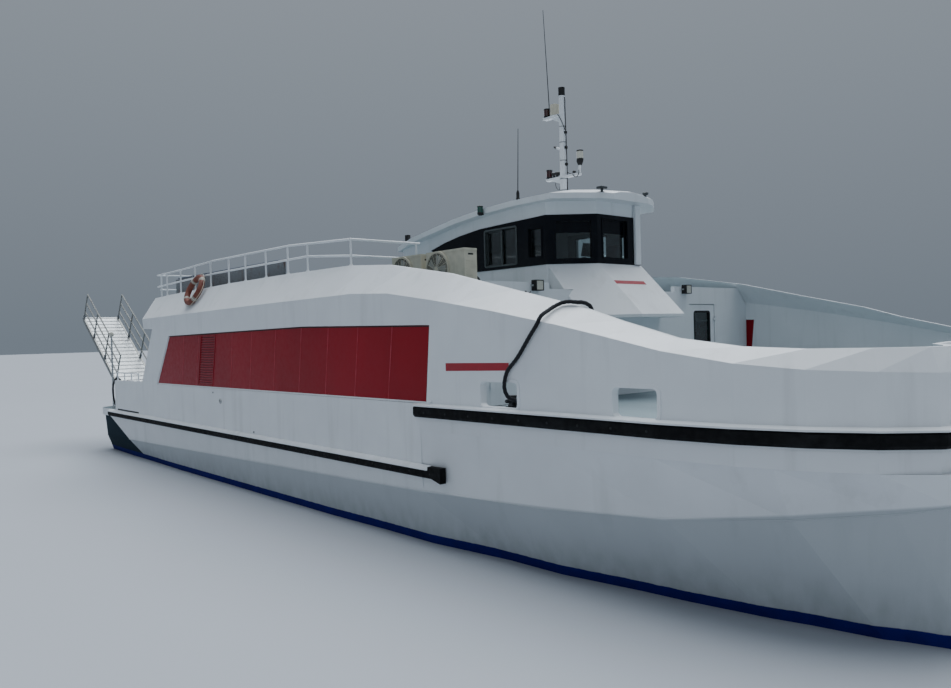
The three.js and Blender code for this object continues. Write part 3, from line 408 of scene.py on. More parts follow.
def polished_metal(name, base, rough=0.25, size_mm=40, stain="6d6a5c"):
    # Machined or rolled marine metal: bright with a fine directional grain and a light stain
    f = Finish(name, Metallic=1.0, Roughness=rough)
    line = f.grain(size_mm, (0.15, 1, 1), 4.0)
    stained = f.patches(120, 0.55, 0.8, 0.0, 0.4, detail=4.0)
    brushed = add_node(f.tree, "MapRange", {
        "Value": line, "From Min": 0.3, "From Max": 0.7, "To Min": rough * 0.8, "To Max": rough * 1.5})
    tone = f.coats(to_linear(base), (line, shade(to_linear(base), 0.82)), (stained, to_linear(stain)))
    return f.complete(tone, brushed)


def engine_paint():
    # Heat-resisting grey enamel on cast iron, cast texture showing through
    f = Finish("engine enamel on cast iron", Roughness=0.5)
    oily = f.patches(220, 0.5, 0.75, 0.0, 0.6, detail=4.0)
    return f.complete(f.coats(to_linear("7a8288"), (oily, to_linear("33302c"))), None, f.grain(12), 0.8, 0.5)


def bitt_paint():
    # Bitumen paint on welded steel, rubbed through to bright steel where ropes turn
    f = Finish("worn bitumen paint on steel", Roughness=0.5)
    worn = f.patches(60, 0.55, 0.66, 0.0, 0.8, (1, 1, 2.5), 4.0)
    f.tree.links.new(worn, f.shader.inputs["Metallic"])
    return f.complete(f.coats(to_linear("1e2022"), (worn, to_linear("83858a"))), None, f.grain(15), 0.7, 0.5)


def moulded_plastic(name, base, rough=0.5):
    # Injection-moulded plastic with a fine spark-eroded grain, drawn at 4 mm so that it shows
    f = Finish(name, Roughness=rough, IOR=1.49)
    faded = f.coats(base, (f.patches(300, 0.4, 0.75), shade(base, 1.12)))
    return f.complete(faded, None, f.grain(4), 0.25, 0.4)


def buoy_shell(paint):
    # Polyethylene buoy shell: orange bleached by sun, chalky, scratched
    f = Finish("polyethylene buoy shell", Roughness=0.62)
    chalk = f.patches(130, 0.42, 0.72, detail=5.0)
    bleached = f.coats(paint.buoy, (chalk, to_linear("85503f")))
    return f.complete(bleached, None, f.grain(30, detail=4.0), 0.8, 0.5)


def reflective_tape():
    # Retro-reflective tape: silver-grey honeycomb of 4 mm cells, drawn at 8 mm
    f = Finish("retro-reflective tape", Roughness=0.35)
    cells = add_node(f.tree, "TexVoronoi", {"Vector": f.place, "Scale": MM_IN_METRE / 8})
    walls = add_node(f.tree, "MapRange", {"Value": cells, "From Min": 0.1, "From Max": 0.6})
    return f.complete(f.coats(to_linear("a8a69e"), (walls, to_linear("85827a"))))


def rope_fibre(name, base):
    # Laid polypropylene rope: fibres of under 1 mm run along the strands, drawn at 7 mm
    f = Finish(name, Roughness=0.88, Sheen_Weight=0.1)
    fibres = f.grain(7, detail=4.0)
    salt = f.patches(120, 0.5, 0.8, 0.0, 0.35)
    tone = f.coats(base, (fibres, shade(base, 1.7)), (salt, to_linear("24262d")))
    return f.complete(tone, None, fibres, 1.2, 0.8)


def lamp_lens(name, base):
    # Moulded polycarbonate lamp lens with fine slanting ribs of 6 mm, which a wave's scale of 52 gives
    f = Finish(name, Roughness=0.12, IOR=1.58, Coat_Weight=0.5)
    ribs = add_node(f.tree, "TexWave", {"Vector": f.place, "Scale": 52.0}, "Fac", bands_direction="DIAGONAL")
    return f.complete(f.coats(to_linear(base), (ribs, shade(to_linear(base), 0.6))))


def studio_floor(paint):
    # Matt floor paper, evenly pale
    f = Finish("matt studio paper", Roughness=0.9)
    return f.complete(f.coats(paint.floor, (f.patches(6000, 0.3, 0.7, detail=2.0), shade(paint.floor, 0.98))))


MADE = {}


def finishes():
    """Every finish by its short name, made once."""
    if not MADE:
        paint = bpy.context.scene.ferry_paint
        MADE.update(
            enamel=topside_enamel(paint), hull=hull_enamel(paint), film=window_film(paint),
            seam=seam_tape(paint), band=gloss_band(paint), glass=tinted_glass(), deck=deck_coating(paint),
            rubber=fender_rubber(paint), engine=engine_paint(), bitt=bitt_paint(), buoy=buoy_shell(paint),
            tape=reflective_tape(), paper=studio_floor(paint), zinc=galvanised(),
            gangway=galvanised("weathered galvanised gangway", "9a9c99", 0.35),
            stainless=polished_metal("rolled stainless steel", "b4b7b8"),
            bronze=polished_metal("nickel aluminium bronze", "a5824a", 0.3, 60, "5f7a5a"),
            anodised=polished_metal("anodised aluminium section", "a9adae", 0.38, 30),
            dulled=polished_metal("anodised aluminium, dulled by salt", "6d7374", 0.5, 30),
            stripe=plain_coat("cut vinyl stripe, red", paint.stripe),
            casing=plain_coat("powder-coated steel, cream", paint.casing, 0.45),
            dark=plain_coat("blackened steel in shadow", to_linear("14171a"), 0.7),
            # paler red of the louvre blades: partly dust, partly a painted highlight on the slats
            louvre=plain_coat("powder-coated aluminium, red, with painted highlight", to_linear("b23c4e"), 0.5),
            seat=moulded_plastic("moulded polypropylene, seats", paint.seat, 0.42),
            black=moulded_plastic("moulded ABS, black", to_linear("0c0d0f")),
            slate=moulded_plastic("cast housing, dark grey", to_linear("3b4144")),
            whip=moulded_plastic("glass fibre, black", to_linear("101214")),
            grey=moulded_plastic("glass fibre, weathered grey", to_linear("8f9495"), 0.55),
            console=moulded_plastic("textured vinyl over board, charcoal", to_linear("2e3236"), 0.6),
            rope=rope_fibre("laid mooring rope", paint.rope),
            line=rope_fibre("polyester grab line", to_linear("b9b3a2")),
            red_lens=lamp_lens("polycarbonate lens, red", "36070c"),
            green_lens=lamp_lens("polycarbonate lens, green", "075044"),
            clear_lens=lamp_lens("polycarbonate lens, clear", "d8d6c8"),
        )
    return MADE


# Meshes
def add_box(bm, low, high):
    """A closed box between two corners."""
    corners = [(x, y, z) for x in (low[0], high[0]) for y in (low[1], high[1]) for z in (low[2], high[2])]
    v = [bm.verts.new(c) for c in corners]
    for f in ((0, 1, 3, 2), (4, 6, 7, 5), (0, 4, 5, 1), (2, 3, 7, 6), (0, 2, 6, 4), (1, 5, 7, 3)):
        bm.faces.new([v[i] for i in f])


def add_loft(bm, rings, closed=False):
    """Skins rings of equal point count; the ends are capped unless it closes on itself."""
    rows = [[bm.verts.new(p) for p in ring] for ring in rings]
    count = len(rows[0])
    for a, b in list(zip(rows, rows[1:])) + ([(rows[-1], rows[0])] if closed else []):
        for i in range(count):
            j = (i + 1) % count
            bm.faces.new((a[i], a[j], b[j], b[i]))
    if not closed:
        bm.faces.new(rows[0][::-1])
        bm.faces.new(rows[-1])


def even_angles(count):
    """Angles of even steps round a circle."""
    return [math.tau * i / count for i in range(count)]


def circle(radius, sides):
    return [(radius * math.cos(t), radius * math.sin(t)) for t in even_angles(sides)]


def rect(x0, x1, z0, z1):
    return [(x0, z0), (x1, z0), (x1, z1), (x0, z1)]


def rounded(x0, x1, z0, z1, radius, steps=4):
    """Outline of a rectangle with round corners."""
    points = []
    for cx, cz, start in ((x1 - radius, z0 + radius, -90), (x1 - radius, z1 - radius, 0),
                          (x0 + radius, z1 - radius, 90), (x0 + radius, z0 + radius, 180)):
        for i in range(steps + 1):
            t = math.radians(start + 90 * i / steps)
            points.append((cx + radius * math.cos(t), cz + radius * math.sin(t)))
    return points


def flipped(outline):
    """An outline in x and z for the port side, whose plane runs aft."""
    return [(-x, z) for x, z in outline]


def offset(points, d):
    """A closed outline moved outward by d."""
    area = sum(a[0] * b[1] - b[0] * a[1] for a, b in zip(points, points[1:] + points[:1]))
    sign = 1 if area > 0 else -1
    moved = []
    for i, p in enumerate(points):
        a, c = points[i - 1], points[(i + 1) % len(points)]
        n1 = Vector((p[1] - a[1], a[0] - p[0])).normalized() * sign
        n2 = Vector((c[1] - p[1], p[0] - c[0])).normalized() * sign
        k = 1 + n1.dot(n2)
        moved.append((p[0] + (n1.x + n2.x) * d / k, p[1] + (n1.y + n2.y) * d / k))
    return moved


def add_sweep(bm, path, outline, closed=False, up=UP):
    """Sweeps a flat outline along a path; outline's first axis lies across it, its second along up."""
    points = [Vector(p) for p in path]
    count = len(points)
    rings = []
    side = None
    for i, p in enumerate(points):
        before = points[(i - 1) % count] if closed or i else p
        after = points[(i + 1) % count] if closed or i + 1 < count else p
        forward = (after - before).normalized()
        reference = Vector(up) if side is None else side.cross(forward)
        if reference.cross(forward).length < 1e-4:
            reference = Vector(FORWARD) if abs(forward.x) < 0.9 else Vector(PORT)
        across = forward.cross(reference).normalized()
        if side is not None and across.dot(side) < 0:
            across.negate()
        side = across
        upward = across.cross(forward).normalized()
        rings.append([p + across * u + upward * v for u, v in outline])
    add_loft(bm, rings, closed)


def add_bar(bm, start, end, radius, sides=10):
    add_sweep(bm, (start, end), circle(radius, sides))


def add_lathe(bm, profile, base, axis=UP, sides=24):
    """Turns a (radius, height) profile about an axis through base, closed flat where it ends off the axis."""
    turn = Vector(axis).normalized().to_track_quat("Z", "Y")
    rows = list(profile)
    if rows[0][0]:
        rows.insert(0, (0, rows[0][1]))
    if rows[-1][0]:
        rows.append((0, rows[-1][1]))
    add_loft(bm, [[Vector(base) + turn @ Vector((x, y, height)) for x, y in circle(max(radius, 1e-4), sides)]
                  for radius, height in rows])


class Plane:
    """A flat place to fit things on: its origin, its two directions and its outward normal."""

    def __init__(self, origin, u, v=UP):
        self.origin, self.u, self.v = Vector(origin), Vector(u).normalized(), Vector(v).normalized()
        self.n = self.u.cross(self.v)

    def at(self, a, b, out=0.0):
        return self.origin + self.u * a + self.v * b + self.n * out


def add_frame(bm, plane, outline, inner, outer, low, high, corners=None):
    """A flat ring on a plane: outline moved by inner and outer, from low to high along the normal.
    With corners it follows only those points of the outline, in their order."""
    inside, outside = offset(outline, inner), offset(outline, outer)
    rings = []
    for i in corners or range(len(outline)):
        a, b = inside[i], outside[i]
        rings.append([plane.at(*a, low), plane.at(*b, low), plane.at(*b, high), plane.at(*a, high)])
    add_loft(bm, rings, closed=corners is None)


def add_plate(bm, plane, outline, low, high):
    """A flat plate on a plane."""
    add_loft(bm, [[plane.at(a, b, low) for a, b in outline], [plane.at(a, b, high) for a, b in outline]])


def smooth_line(rows, step):
    """Evenly spaced points on a centripetal curve through rows."""
    rows = [Vector(p) for p in rows]
    dense = []
    ends = [rows[0] * 2 - rows[1], *rows, rows[-1] * 2 - rows[-2]]
    for p0, p1, p2, p3 in zip(ends, ends[1:], ends[2:], ends[3:]):
        t0, t1 = 0.0, (p1 - p0).length ** 0.5
        t2 = t1 + (p2 - p1).length ** 0.5
        t3 = t2 + (p3 - p2).length ** 0.5
        for i in range(24):
            t = t1 + (t2 - t1) * i / 24
            a1 = p0 * ((t1 - t) / (t1 - t0)) + p1 * ((t - t0) / (t1 - t0))
            a2 = p1 * ((t2 - t) / (t2 - t1)) + p2 * ((t - t1) / (t2 - t1))
            a3 = p2 * ((t3 - t) / (t3 - t2)) + p3 * ((t - t2) / (t3 - t2))
            b1 = a1 * ((t2 - t) / (t2 - t0)) + a2 * ((t - t0) / (t2 - t0))
            b2 = a2 * ((t3 - t) / (t3 - t1)) + a3 * ((t - t1) / (t3 - t1))
            dense.append(b1 * ((t2 - t) / (t2 - t1)) + b2 * ((t - t1) / (t2 - t1)))
    dense.append(rows[-1])
    even, left = [dense[0]], step
    for a, b in zip(dense, dense[1:]):
        gap = (b - a).length
        while gap >= left:
            a = a + (b - a) * (left / gap)
            even.append(a)
            gap -= left
            left = step
        left -= gap
    if (even[-1] - dense[-1]).length > step * 0.4:
        even.append(dense[-1])
    return even


def add_cable(bm, rows, step, radius, sides=8):
    """A round cable on a smooth line through rows."""
    add_sweep(bm, smooth_line(rows, step), circle(radius, sides))


def add_rope(bm, rows, sizes):
    """A three-strand laid rope along a smooth line through rows; returns that line."""
    points = smooth_line(rows, 0.012)
    radius = sizes.rope_diameter / 2
    side, travelled, rings = None, 0.0, []
    for i, p in enumerate(points):
        forward = (points[min(i + 1, len(points) - 1)] - points[max(i - 1, 0)]).normalized()
        if side is None:
            side = forward.cross(Vector((0.2, 1, 0.1))).normalized()
        side = (side - forward * side.dot(forward)).normalized()
        upward = side.cross(forward)
        if i:
            travelled += (p - points[i - 1]).length
        twist = math.tau * travelled / sizes.strand_pitch
        ring = []
        for t in even_angles(18):
            # round strands, the grooves between them 14% of the radius deep
            lobe = 0.86 + 0.14 * abs(math.cos(STRANDS / 2 * (t - twist)))
            ring.append(p + (side * math.cos(t) + upward * math.sin(t)) * radius * lobe)
        rings.append(ring)
    add_loft(bm, rings)
    return points


def mesh_of(add, *args, **settings):
    """A new mesh that holds one shape."""
    bm = bmesh.new()
    add(bm, *args, **settings)
    return bm


def piece(name, bm, finish, slot, body=SHIP, bevel=0.0, smooth=38):
    """A finished object from bm that rides on a body."""
    bmesh.ops.recalc_face_normals(bm, faces=bm.faces)
    mesh = bpy.data.meshes.new(name)
    bm.to_mesh(mesh)
    bm.free()
    mesh.polygons.foreach_set("use_smooth", [True] * len(mesh.polygons))
    mesh.set_sharp_from_angle(angle=math.radians(smooth))
    mesh.materials.append(finishes()[finish])
    obj = bpy.data.objects.new(name, mesh)
    bpy.context.scene.collection.objects.link(obj)
    if bevel:
        edge = obj.modifiers.new("soft edges", "BEVEL")
        edge.width, edge.segments, edge.limit_method = bevel, 2, "ANGLE"
        edge.harden_normals = True
    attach(obj, body)
    return obj


def mirror_pair(name, bm, finish, slot, **looks):
    """The port piece from bm and its mirror image to starboard."""
    twin = bm.copy()
    for v in twin.verts:
        v.co.y = -v.co.y
    piece(f"{name}_port", bm, finish, slot, **looks)
    piece(f"{name}_starboard", twin, finish, slot, **looks)


# Operators, one for each piece or group of like pieces
class FERRY_OT_studio(bpy.types.Operator):
    """Sets the camera, the floor at the waterline and the soft lights"""
    bl_idname = "ferry.studio"
    bl_label = "Studio"

    def execute(self, context):
        scene = context.scene
        data = bpy.data.cameras.new("reference view")
        data.lens, data.sensor_width, data.clip_end = LENS, 36.0, 1000.0
        camera = bpy.data.objects.new("reference view", data)
        flat = Vector((-math.cos(HEADING), math.sin(HEADING), 0))
        level = Vector((math.sin(HEADING), math.cos(HEADING), 0))
        upright = Vector(UP)
        forward = flat * math.cos(PITCH) + upright * math.sin(PITCH)
        raised = upright * math.cos(PITCH) - flat * math.sin(PITCH)
        right = level * math.cos(ROLL) - raised * math.sin(ROLL)
        top = level * math.sin(ROLL) + raised * math.cos(ROLL)
        turn = Matrix((right, top, -forward)).transposed().to_4x4()
        camera.matrix_world = Matrix.Translation(EYE) @ turn
        scene.collection.objects.link(camera)
        scene.camera = camera

        bm = mesh_of(add_plate, Plane((0, 0, 0), FORWARD, PORT), circle(FLOOR_RADIUS, 96), -0.02, 0.0)
        mesh = bpy.data.meshes.new("studio_floor")
        bm.to_mesh(mesh)
        bm.free()
        mesh.materials.append(finishes()["paper"])
        floor = bpy.data.objects.new("studio_floor", mesh)
        scene.collection.objects.link(floor)

        world = bpy.data.worlds.new("soft grey room")
        world.use_nodes = True
        tree = world.node_tree
        sky = tree.nodes["Background"]
        # paler overhead than at the horizon, where it meets the floor
        direction = add_node(tree, "TexCoord", output="Generated")
        rise = add_node(tree, "SeparateXYZ", {0: direction}, "Z")
        height = add_node(tree, "MapRange", {"Value": rise, "From Max": 0.55})
        tone = add_node(tree, "Mix", {0: height, 6: to_linear("a2b0bf"), 7: to_linear("d6e1ee")}, 2,
                        data_type="RGBA")
        tree.links.new(tone, sky.inputs["Color"])
        sky.inputs["Strength"].default_value = 0.47
        scene.world = world
        # a wide even light from above, then two soft boxes: power, place, aim and width
        for name, kind, power, place, aim, width in (
                ("overhead", "SUN", 4.1, (-3, 5, 19), (0, 0, 1), 1.05),
                ("front", "AREA", 260, (20, -22, 11), (2, -2, 2.5), 16),
                ("stern", "AREA", 500, (-24, 16, 12), (-3, 0, 2.5), 14)):
            light = bpy.data.lights.new(name, kind)
            light.energy, light.color = power, (0.9, 0.95, 1.0)
            if kind == "SUN":
                light.angle = width
            else:
                light.shape, light.size = "DISK", width
            lamp = bpy.data.objects.new(name, light)
            lamp.location = place
            lamp.rotation_euler = (Vector(place) - Vector(aim)).to_track_quat("Z", "Y").to_euler()
            scene.collection.objects.link(lamp)
        return {"FINISHED"}


class FERRY_OT_ropes(bpy.types.Operator):
    """Lays the two mooring ropes over the bulwarks"""
    bl_idname = "ferry.ropes"
    bl_label = "Mooring ropes"

    def execute(self, context):
        sizes = context.scene.ferry_sizes
        whip = [(0.0, -0.004), (0.022, -0.003), (0.0275, 0.004), (0.0275, 0.058), (0.024, 0.064)]
        for name, rows in (("rope_bow", BOW_ROPE), ("rope_stern", STERN_ROPE)):
            bm = bmesh.new()
            line = add_rope(bm, rows, sizes)
            rope = piece(f"{name}_laid", bm, "rope", "rope", smooth=80)
            ends = mesh_of(add_lathe, whip, line[-1], line[-9] - line[-1])
            whipping = piece(f"{name}_whipping", ends, "line", "rope", smooth=60)
            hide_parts(name)
        return {"FINISHED"}


class FERRY_OT_bitt_turns(bpy.types.Operator):
    """Winds the ropes in figures of eight round the two starboard bitts"""
    bl_idname = "ferry.bitt_turns"
    bl_label = "Rope turns on the bitts"

    def execute(self, context):
        # posts' distance from the middle, radius of a turn, degrees that it holds each post
        reach, radius, hold = 0.12, 0.081, 263.6
        # middle between the posts, height of the first and the last turn, number of turns, way to the opening
        for name, x, y, low, high, count, last in (
                ("rope_turns_bow", 5.95, -4.13, 2.0, 2.185, 2.0, [(6.148, -4.16), (6.14, -4.21)]),
                ("rope_turns_stern", -9.56, -4.21, 1.275, 1.30, 1.5, [])):
            rows = []
            for i in range(int(count * 24) + 1):
                u = i / 24
                phase = (u % 1.0) * 2
                if phase < 1:
                    post, angle = x + reach, math.radians(hold / 2 - hold * phase)
                else:
                    post, angle = x - reach, math.radians(180 - hold / 2 + hold * (phase - 1))
                rows.append((post + radius * math.cos(angle), y + radius * math.sin(angle),
                             low + (high - low) * u / count))
            rows += [(a, b, high) for a, b in last]
            piece(name, mesh_of(add_rope, rows, context.scene.ferry_sizes), "rope", "rope", smooth=80)
        return {"FINISHED"}


class FERRY_OT_paint(bpy.types.Operator):
    """Gives every solid of the frame its finish"""
    bl_idname = "ferry.paint"
    bl_label = "Frame finishes"

    def execute(self, context):
        for name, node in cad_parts.items():
            wanted = next((finish for start, finish in NODE_FINISH if name.startswith(start)), None)
            if wanted is None:
                raise RuntimeError(f"no finish is set for {name}")
            for slot in node.material_slots:
                slot.material = finishes()[wanted]
            node.data.polygons.foreach_set("use_smooth", [True] * len(node.data.polygons))
            node.data.set_sharp_from_angle(angle=math.radians(28))
        return {"FINISHED"}


def panel_edges(x):
    """Foot and head of the window panel at x."""
    foot = read(((-6.64, 2.027), (4.35, 2.092)), x)
    return foot, read(((-5.75, 3.198), (0.74, 3.278), (4.47, 3.218)), x)


class FERRY_OT_saloon_sides(bpy.types.Operator):
    """Fits the joints of the window film, the louvre with painted highlight on its blades and painted shade
    in its slots, a dark strip of painted shade and a lip round the windows, the outlets, the freeing slot's
    painted shade and the weld bead of the chine"""
    bl_idname = "ferry.saloon_sides"
    bl_label = "Saloon sides"

    def execute(self, context):
        half = context.scene.ferry_sizes.seam_width / 2
        side = Plane((0, PANEL_Y, 0), AFT)
        bm = bmesh.new()
        for x, lean in SEAMS:
            low, high = panel_edges(x)
            x0, x1 = x + lean * (low - SEAM_Z), x + lean * (high - SEAM_Z)
            strip = [(-x0 - half, low), (-x0 + half, low), (-x1 + half, high), (-x1 - half, high)]
            add_plate(bm, side, strip, -0.001, 0.0022)
        mirror_pair("film_joints", bm, "seam", "red_panel")

        # blades, paler red partly as painted highlight on the slats, and dark plates behind them as painted
        # shade in the slots
        blades, shade_plates = bmesh.new(), bmesh.new()
        for i in range(LOUVRE_ROWS):
            z, x0 = 2.13 + LOUVRE_PITCH * i, -4.02 + 0.22 * LOUVRE_PITCH * i
            blade = [(PANEL_Y + out, z + up) for out, up in
                     ((-0.02, 0.012), (-0.018, 0.0145), (0.005, 0.0055), (0.003, 0.0015))]
            add_loft(blades, [[(x, y, h) for y, h in blade] for x in (x0 + 0.004, x0 + 0.696)])
            add_plate(shade_plates, side, rect(-x0 - 0.001, -x0 - 0.699, z + 0.001, z + 0.025), -0.0229, -0.0222)
        mirror_pair("louvre_blades", blades, "louvre", "red_panel")
        mirror_pair("louvre_slot_shade", shade_plates, "dark", "red_panel")
        bm = mesh_of(add_frame, side, flipped(LOUVRE_EDGE), 0.0, 0.028, -0.001, 0.010)
        mirror_pair("louvre_frame", bm, "film", "red_panel", bevel=0.002)

        # a dark strip along the head and the forward end as painted shade under the lip of the recess, a
        # painted lip along the foot and the raked aft end
        panel = flipped(PANEL_OUTLINE)
        bm = mesh_of(add_frame, side, panel, -0.026, -0.010, -0.001, 0.006, corners=(1, 2, 3, 4))
        mirror_pair("window_dark_rim", bm, "dark", "fender_rubber")
        bm = mesh_of(add_frame, side, panel, -0.030, -0.006, -0.001, 0.012, corners=(4, 0, 1))
        mirror_pair("window_lip", bm, "enamel", "topside_paint", bevel=0.002)

        bm = bmesh.new()
        for x, z, r in SIDE_OUTLETS:
            lip = [(r, -0.002), (r * 1.05, 0.004), (r * 0.96, 0.014), (r * 0.66, 0.016), (r * 0.6, 0.004)]
            add_lathe(bm, lip, (x, SIDE_Y, z), PORT, 20)
        mirror_pair("side_outlets", bm, "stainless", "steel")
        # dark plate as painted shade of a long freeing slot over the ledge of the fender, aft
        slot = flipped(rounded(-9.76, -8.04, 1.206, 1.246, 0.018))
        bm = mesh_of(add_plate, Plane((0, SIDE_Y, 0), AFT), slot, -0.004, 0.0012)
        mirror_pair("freeing_slot_shade", bm, "dark", "topside_paint")
        # weld bead along the chine
        bead = mesh_of(add_sweep, CHINE, circle(0.011, 8))
        mirror_pair("chine_bead", bead, "hull", "topside_paint", smooth=60)
        return {"FINISHED"}


class FERRY_OT_side_fittings(bpy.types.Operator):
    """Fits the low rail and the light post of the aft deck and the foot block of the window panel"""
    bl_idname = "ferry.side_fittings"
    bl_label = "Side fittings"

    def execute(self, context):
        bm = bmesh.new()
        for x in (-9.8, -9.22, -8.66, -8.1):
            z = 2.02 + (x + 10.2) * 0.014
            add_bar(bm, (x, 4.41, z - 0.005), (x, 4.41, 2.232), 0.017, 12)
            add_lathe(bm, [(0.034, 0), (0.034, 0.008), (0.018, 0.014)], (x, 4.41, z), sides=16)
        add_bar(bm, (-9.83, 4.41, 2.24), (-8.07, 4.41, 2.24), 0.019, 12)
        mirror_pair("aft_deck_rail", bm, "enamel", "topside_paint")
        bm = mesh_of(add_box, (4.42, 4.4505, 2.092), (4.49, 4.50, 2.135))
        mirror_pair("ledge_block", bm, "enamel", "topside_paint", bevel=0.004)
        post = [(0.07, 0), (0.07, 0.012), (0.024, 0.02), (0.024, 2.06)]
        piece("light_post", mesh_of(add_lathe, post, (-10.53, -4.33, MAIN_DECK)), "stainless", "steel")
        lamp = [(0.05, 0), (0.066, 0.03), (0.066, 0.08), (0.05, 0.115), (0.02, 0.128), (0, 0.13)]
        bm = mesh_of(add_lathe, lamp, (-10.53, -4.33, MAIN_DECK + 2.05))
        piece("light_post_lamp", bm, "clear_lens", "band_glass")
        return {"FINISHED"}


class FERRY_OT_bow_sides(bpy.types.Operator):
    """Fits the frames of the mooring openings, the red stripes and the flood lights"""
    bl_idname = "ferry.bow_sides"
    bl_label = "Bow sides"

    def execute(self, context):
        side = Plane((0, SIDE_Y, 0), AFT)
        bm = bmesh.new()
        for x0, x1 in MOORING_OPENINGS:
            outline = flipped(rounded(x0, x1, 2.10, 2.46, 0.07))
            add_frame(bm, side, outline, -0.012, 0.03, -0.004, 0.012)
            add_frame(bm, side, outline, -0.016, 0.0, -0.1, 0.011)
        mirror_pair("mooring_frames", bm, "enamel", "topside_paint", bevel=0.003)
        bm = mesh_of(add_plate, side, flipped(STRIPE), 0.0003, 0.0018)
        mirror_pair("bow_stripe", bm, "stripe", "red_panel")
        slope = Plane((4.375, 0, 4.258), PORT, (-0.925, 0, 0.918))
        bm = mesh_of(add_plate, slope, rect(-0.585, 0.25, -0.542, -0.452), 0.0004, 0.0018)
        piece("apron_stripe", bm, "stripe", "red_panel")

        case, lens, arm = bmesh.new(), bmesh.new(), bmesh.new()
        front = Plane((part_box("front_bulkhead")[1].x + 0.002, FLOOD_Y, 3.845), PORT)
        add_box(case, (4.2845, FLOOD_Y - 0.088, 3.757), (front.origin.x, FLOOD_Y + 0.088, 3.933))
        add_frame(case, front, rounded(-0.088, 0.088, -0.088, 0.088, 0.012), -0.014, 0.0, -0.002, 0.008)
        for i in range(6):
            z = 3.775 + i * 0.028
            add_box(case, (4.29, FLOOD_Y - 0.094, z), (4.36, FLOOD_Y + 0.094, z + 0.008))
        add_plate(lens, front, rounded(-0.072, 0.072, -0.072, 0.072, 0.01), -0.001, 0.003)
        for y in (FLOOD_Y - 0.105, FLOOD_Y + 0.099):
            add_box(arm, (4.281, y, 3.83), (4.35, y + 0.006, 3.86))
        mirror_pair("flood_light_case", case, "black", "console", bevel=0.003)
        mirror_pair("flood_light_lens", lens, "clear_lens", "band_glass")
        mirror_pair("flood_light_bracket", arm, "stainless", "steel")
        run = [(4.289, y, z) for y, z in ((-2.2, 3.742), (-2.26, 3.716), (-2.4, 3.735), (-2.55, 3.715),
                                          (-2.66, 3.66))]
        bm = mesh_of(add_cable, run, 0.04, 0.0075)
        for y in (-2.32, -2.46, -2.62):
            add_box(bm, (4.2805, y - 0.012, 3.69), (4.3, y + 0.012, 3.755))
        piece("flood_light_cable", bm, "black", "console", smooth=80)
        return {"FINISHED"}


def fit_door(name, face, sign, across, upright, depth, handle, body):
    """Rubber, pane and handle of a door. face is its outer face, across and upright are the edges of its
    pane, and handle is the handle's place and the length of its lever, 0 for a pull bar."""
    a, b = sorted((sign * across[0], sign * across[1]))
    outline = rounded(a, b, *upright, 0.04)
    bm = mesh_of(add_frame, face, outline, -0.014, 0.026, -depth - 0.004, 0.006)
    piece(f"{name}_rubber", bm, "dark", "fender_rubber", body)
    bm = mesh_of(add_plate, face, offset(outline, -0.013), -depth / 2 - 0.004, -depth / 2 + 0.004)
    piece(f"{name}_pane", bm, "glass", "window_glass", body)
    bm = bmesh.new()
    at, z, lever = sign * handle[0], handle[1], sign * handle[2]
    rose = [(0.03, -0.002), (0.03, 0.012), (0.012, 0.016), (0.012, 0.05)]
    if lever:
        add_lathe(bm, rose, face.at(at, z), face.n, 20)
        add_bar(bm, face.at(at, z, 0.042), face.at(at + lever, z - 0.005, 0.042), 0.009)
    else:
        add_lathe(bm, rose, face.at(at, z), face.n, 16)
        add_lathe(bm, rose, face.at(at, z + 0.3), face.n, 16)
        add_bar(bm, face.at(at, z - 0.03, 0.045), face.at(at, z + 0.33, 0.045), 0.011)
    piece(f"{name}_handle", bm, "stainless", "steel", body)


class FERRY_OT_doors(bpy.types.Operator):
    """Fits the bow gate's frame, the doors' panes, rubbers and handles and the aft windows"""
    bl_idname = "ferry.doors"
    bl_label = "Doors and gate"

    def execute(self, context):
        gate = Plane((10.385, 0, 0), PORT)
        bm = mesh_of(add_frame, gate, rect(-1.03, 1.03, 1.97, 2.81), -0.06, 0.0, -0.001, 0.012)
        add_plate(bm, gate, rect(-0.972, 0.972, 2.36, 2.42), -0.001, 0.012)
        add_bar(bm, (10.36, -1.085, 2.864), (10.36, 1.085, 2.864), 0.018)
        piece("gate_frame", bm, "enamel", "topside_paint", "bow_gate", bevel=0.003)

        for word, sign in SIDES:
            fit_door(f"front_door_{word}", Plane((4.27, 0, 0), PORT), sign, (2.44, 2.97), (2.7, 3.4),
                     0.045, (2.345, 2.78, 0.12), f"front_door_{word}")
        fit_door("aft_door", Plane((-7.036, 0, 0), STARBOARD), -1, (-0.4, 0.4), (2.1, 3.15), 0.046,
                 (0.465, 2.1, 0.0), "aft_door")

        wall = Plane((-6.98, 0, 0), STARBOARD)
        outline = rounded(-3.4, -1.9, 2.25, 3.25, 0.05)
        frames = mesh_of(add_frame, wall, outline, -0.02, 0.035, -0.088, 0.008)
        add_plate(frames, wall, rect(-2.67, -2.63, 2.26, 3.24), -0.055, -0.027)
        mirror_pair("aft_window_frame", frames, "anodised", "steel", bevel=0.002)
        panes = mesh_of(add_plate, wall, offset(outline, -0.019), -0.045, -0.037)
        mirror_pair("aft_window_pane", panes, "glass", "window_glass")
        return {"FINISHED"}


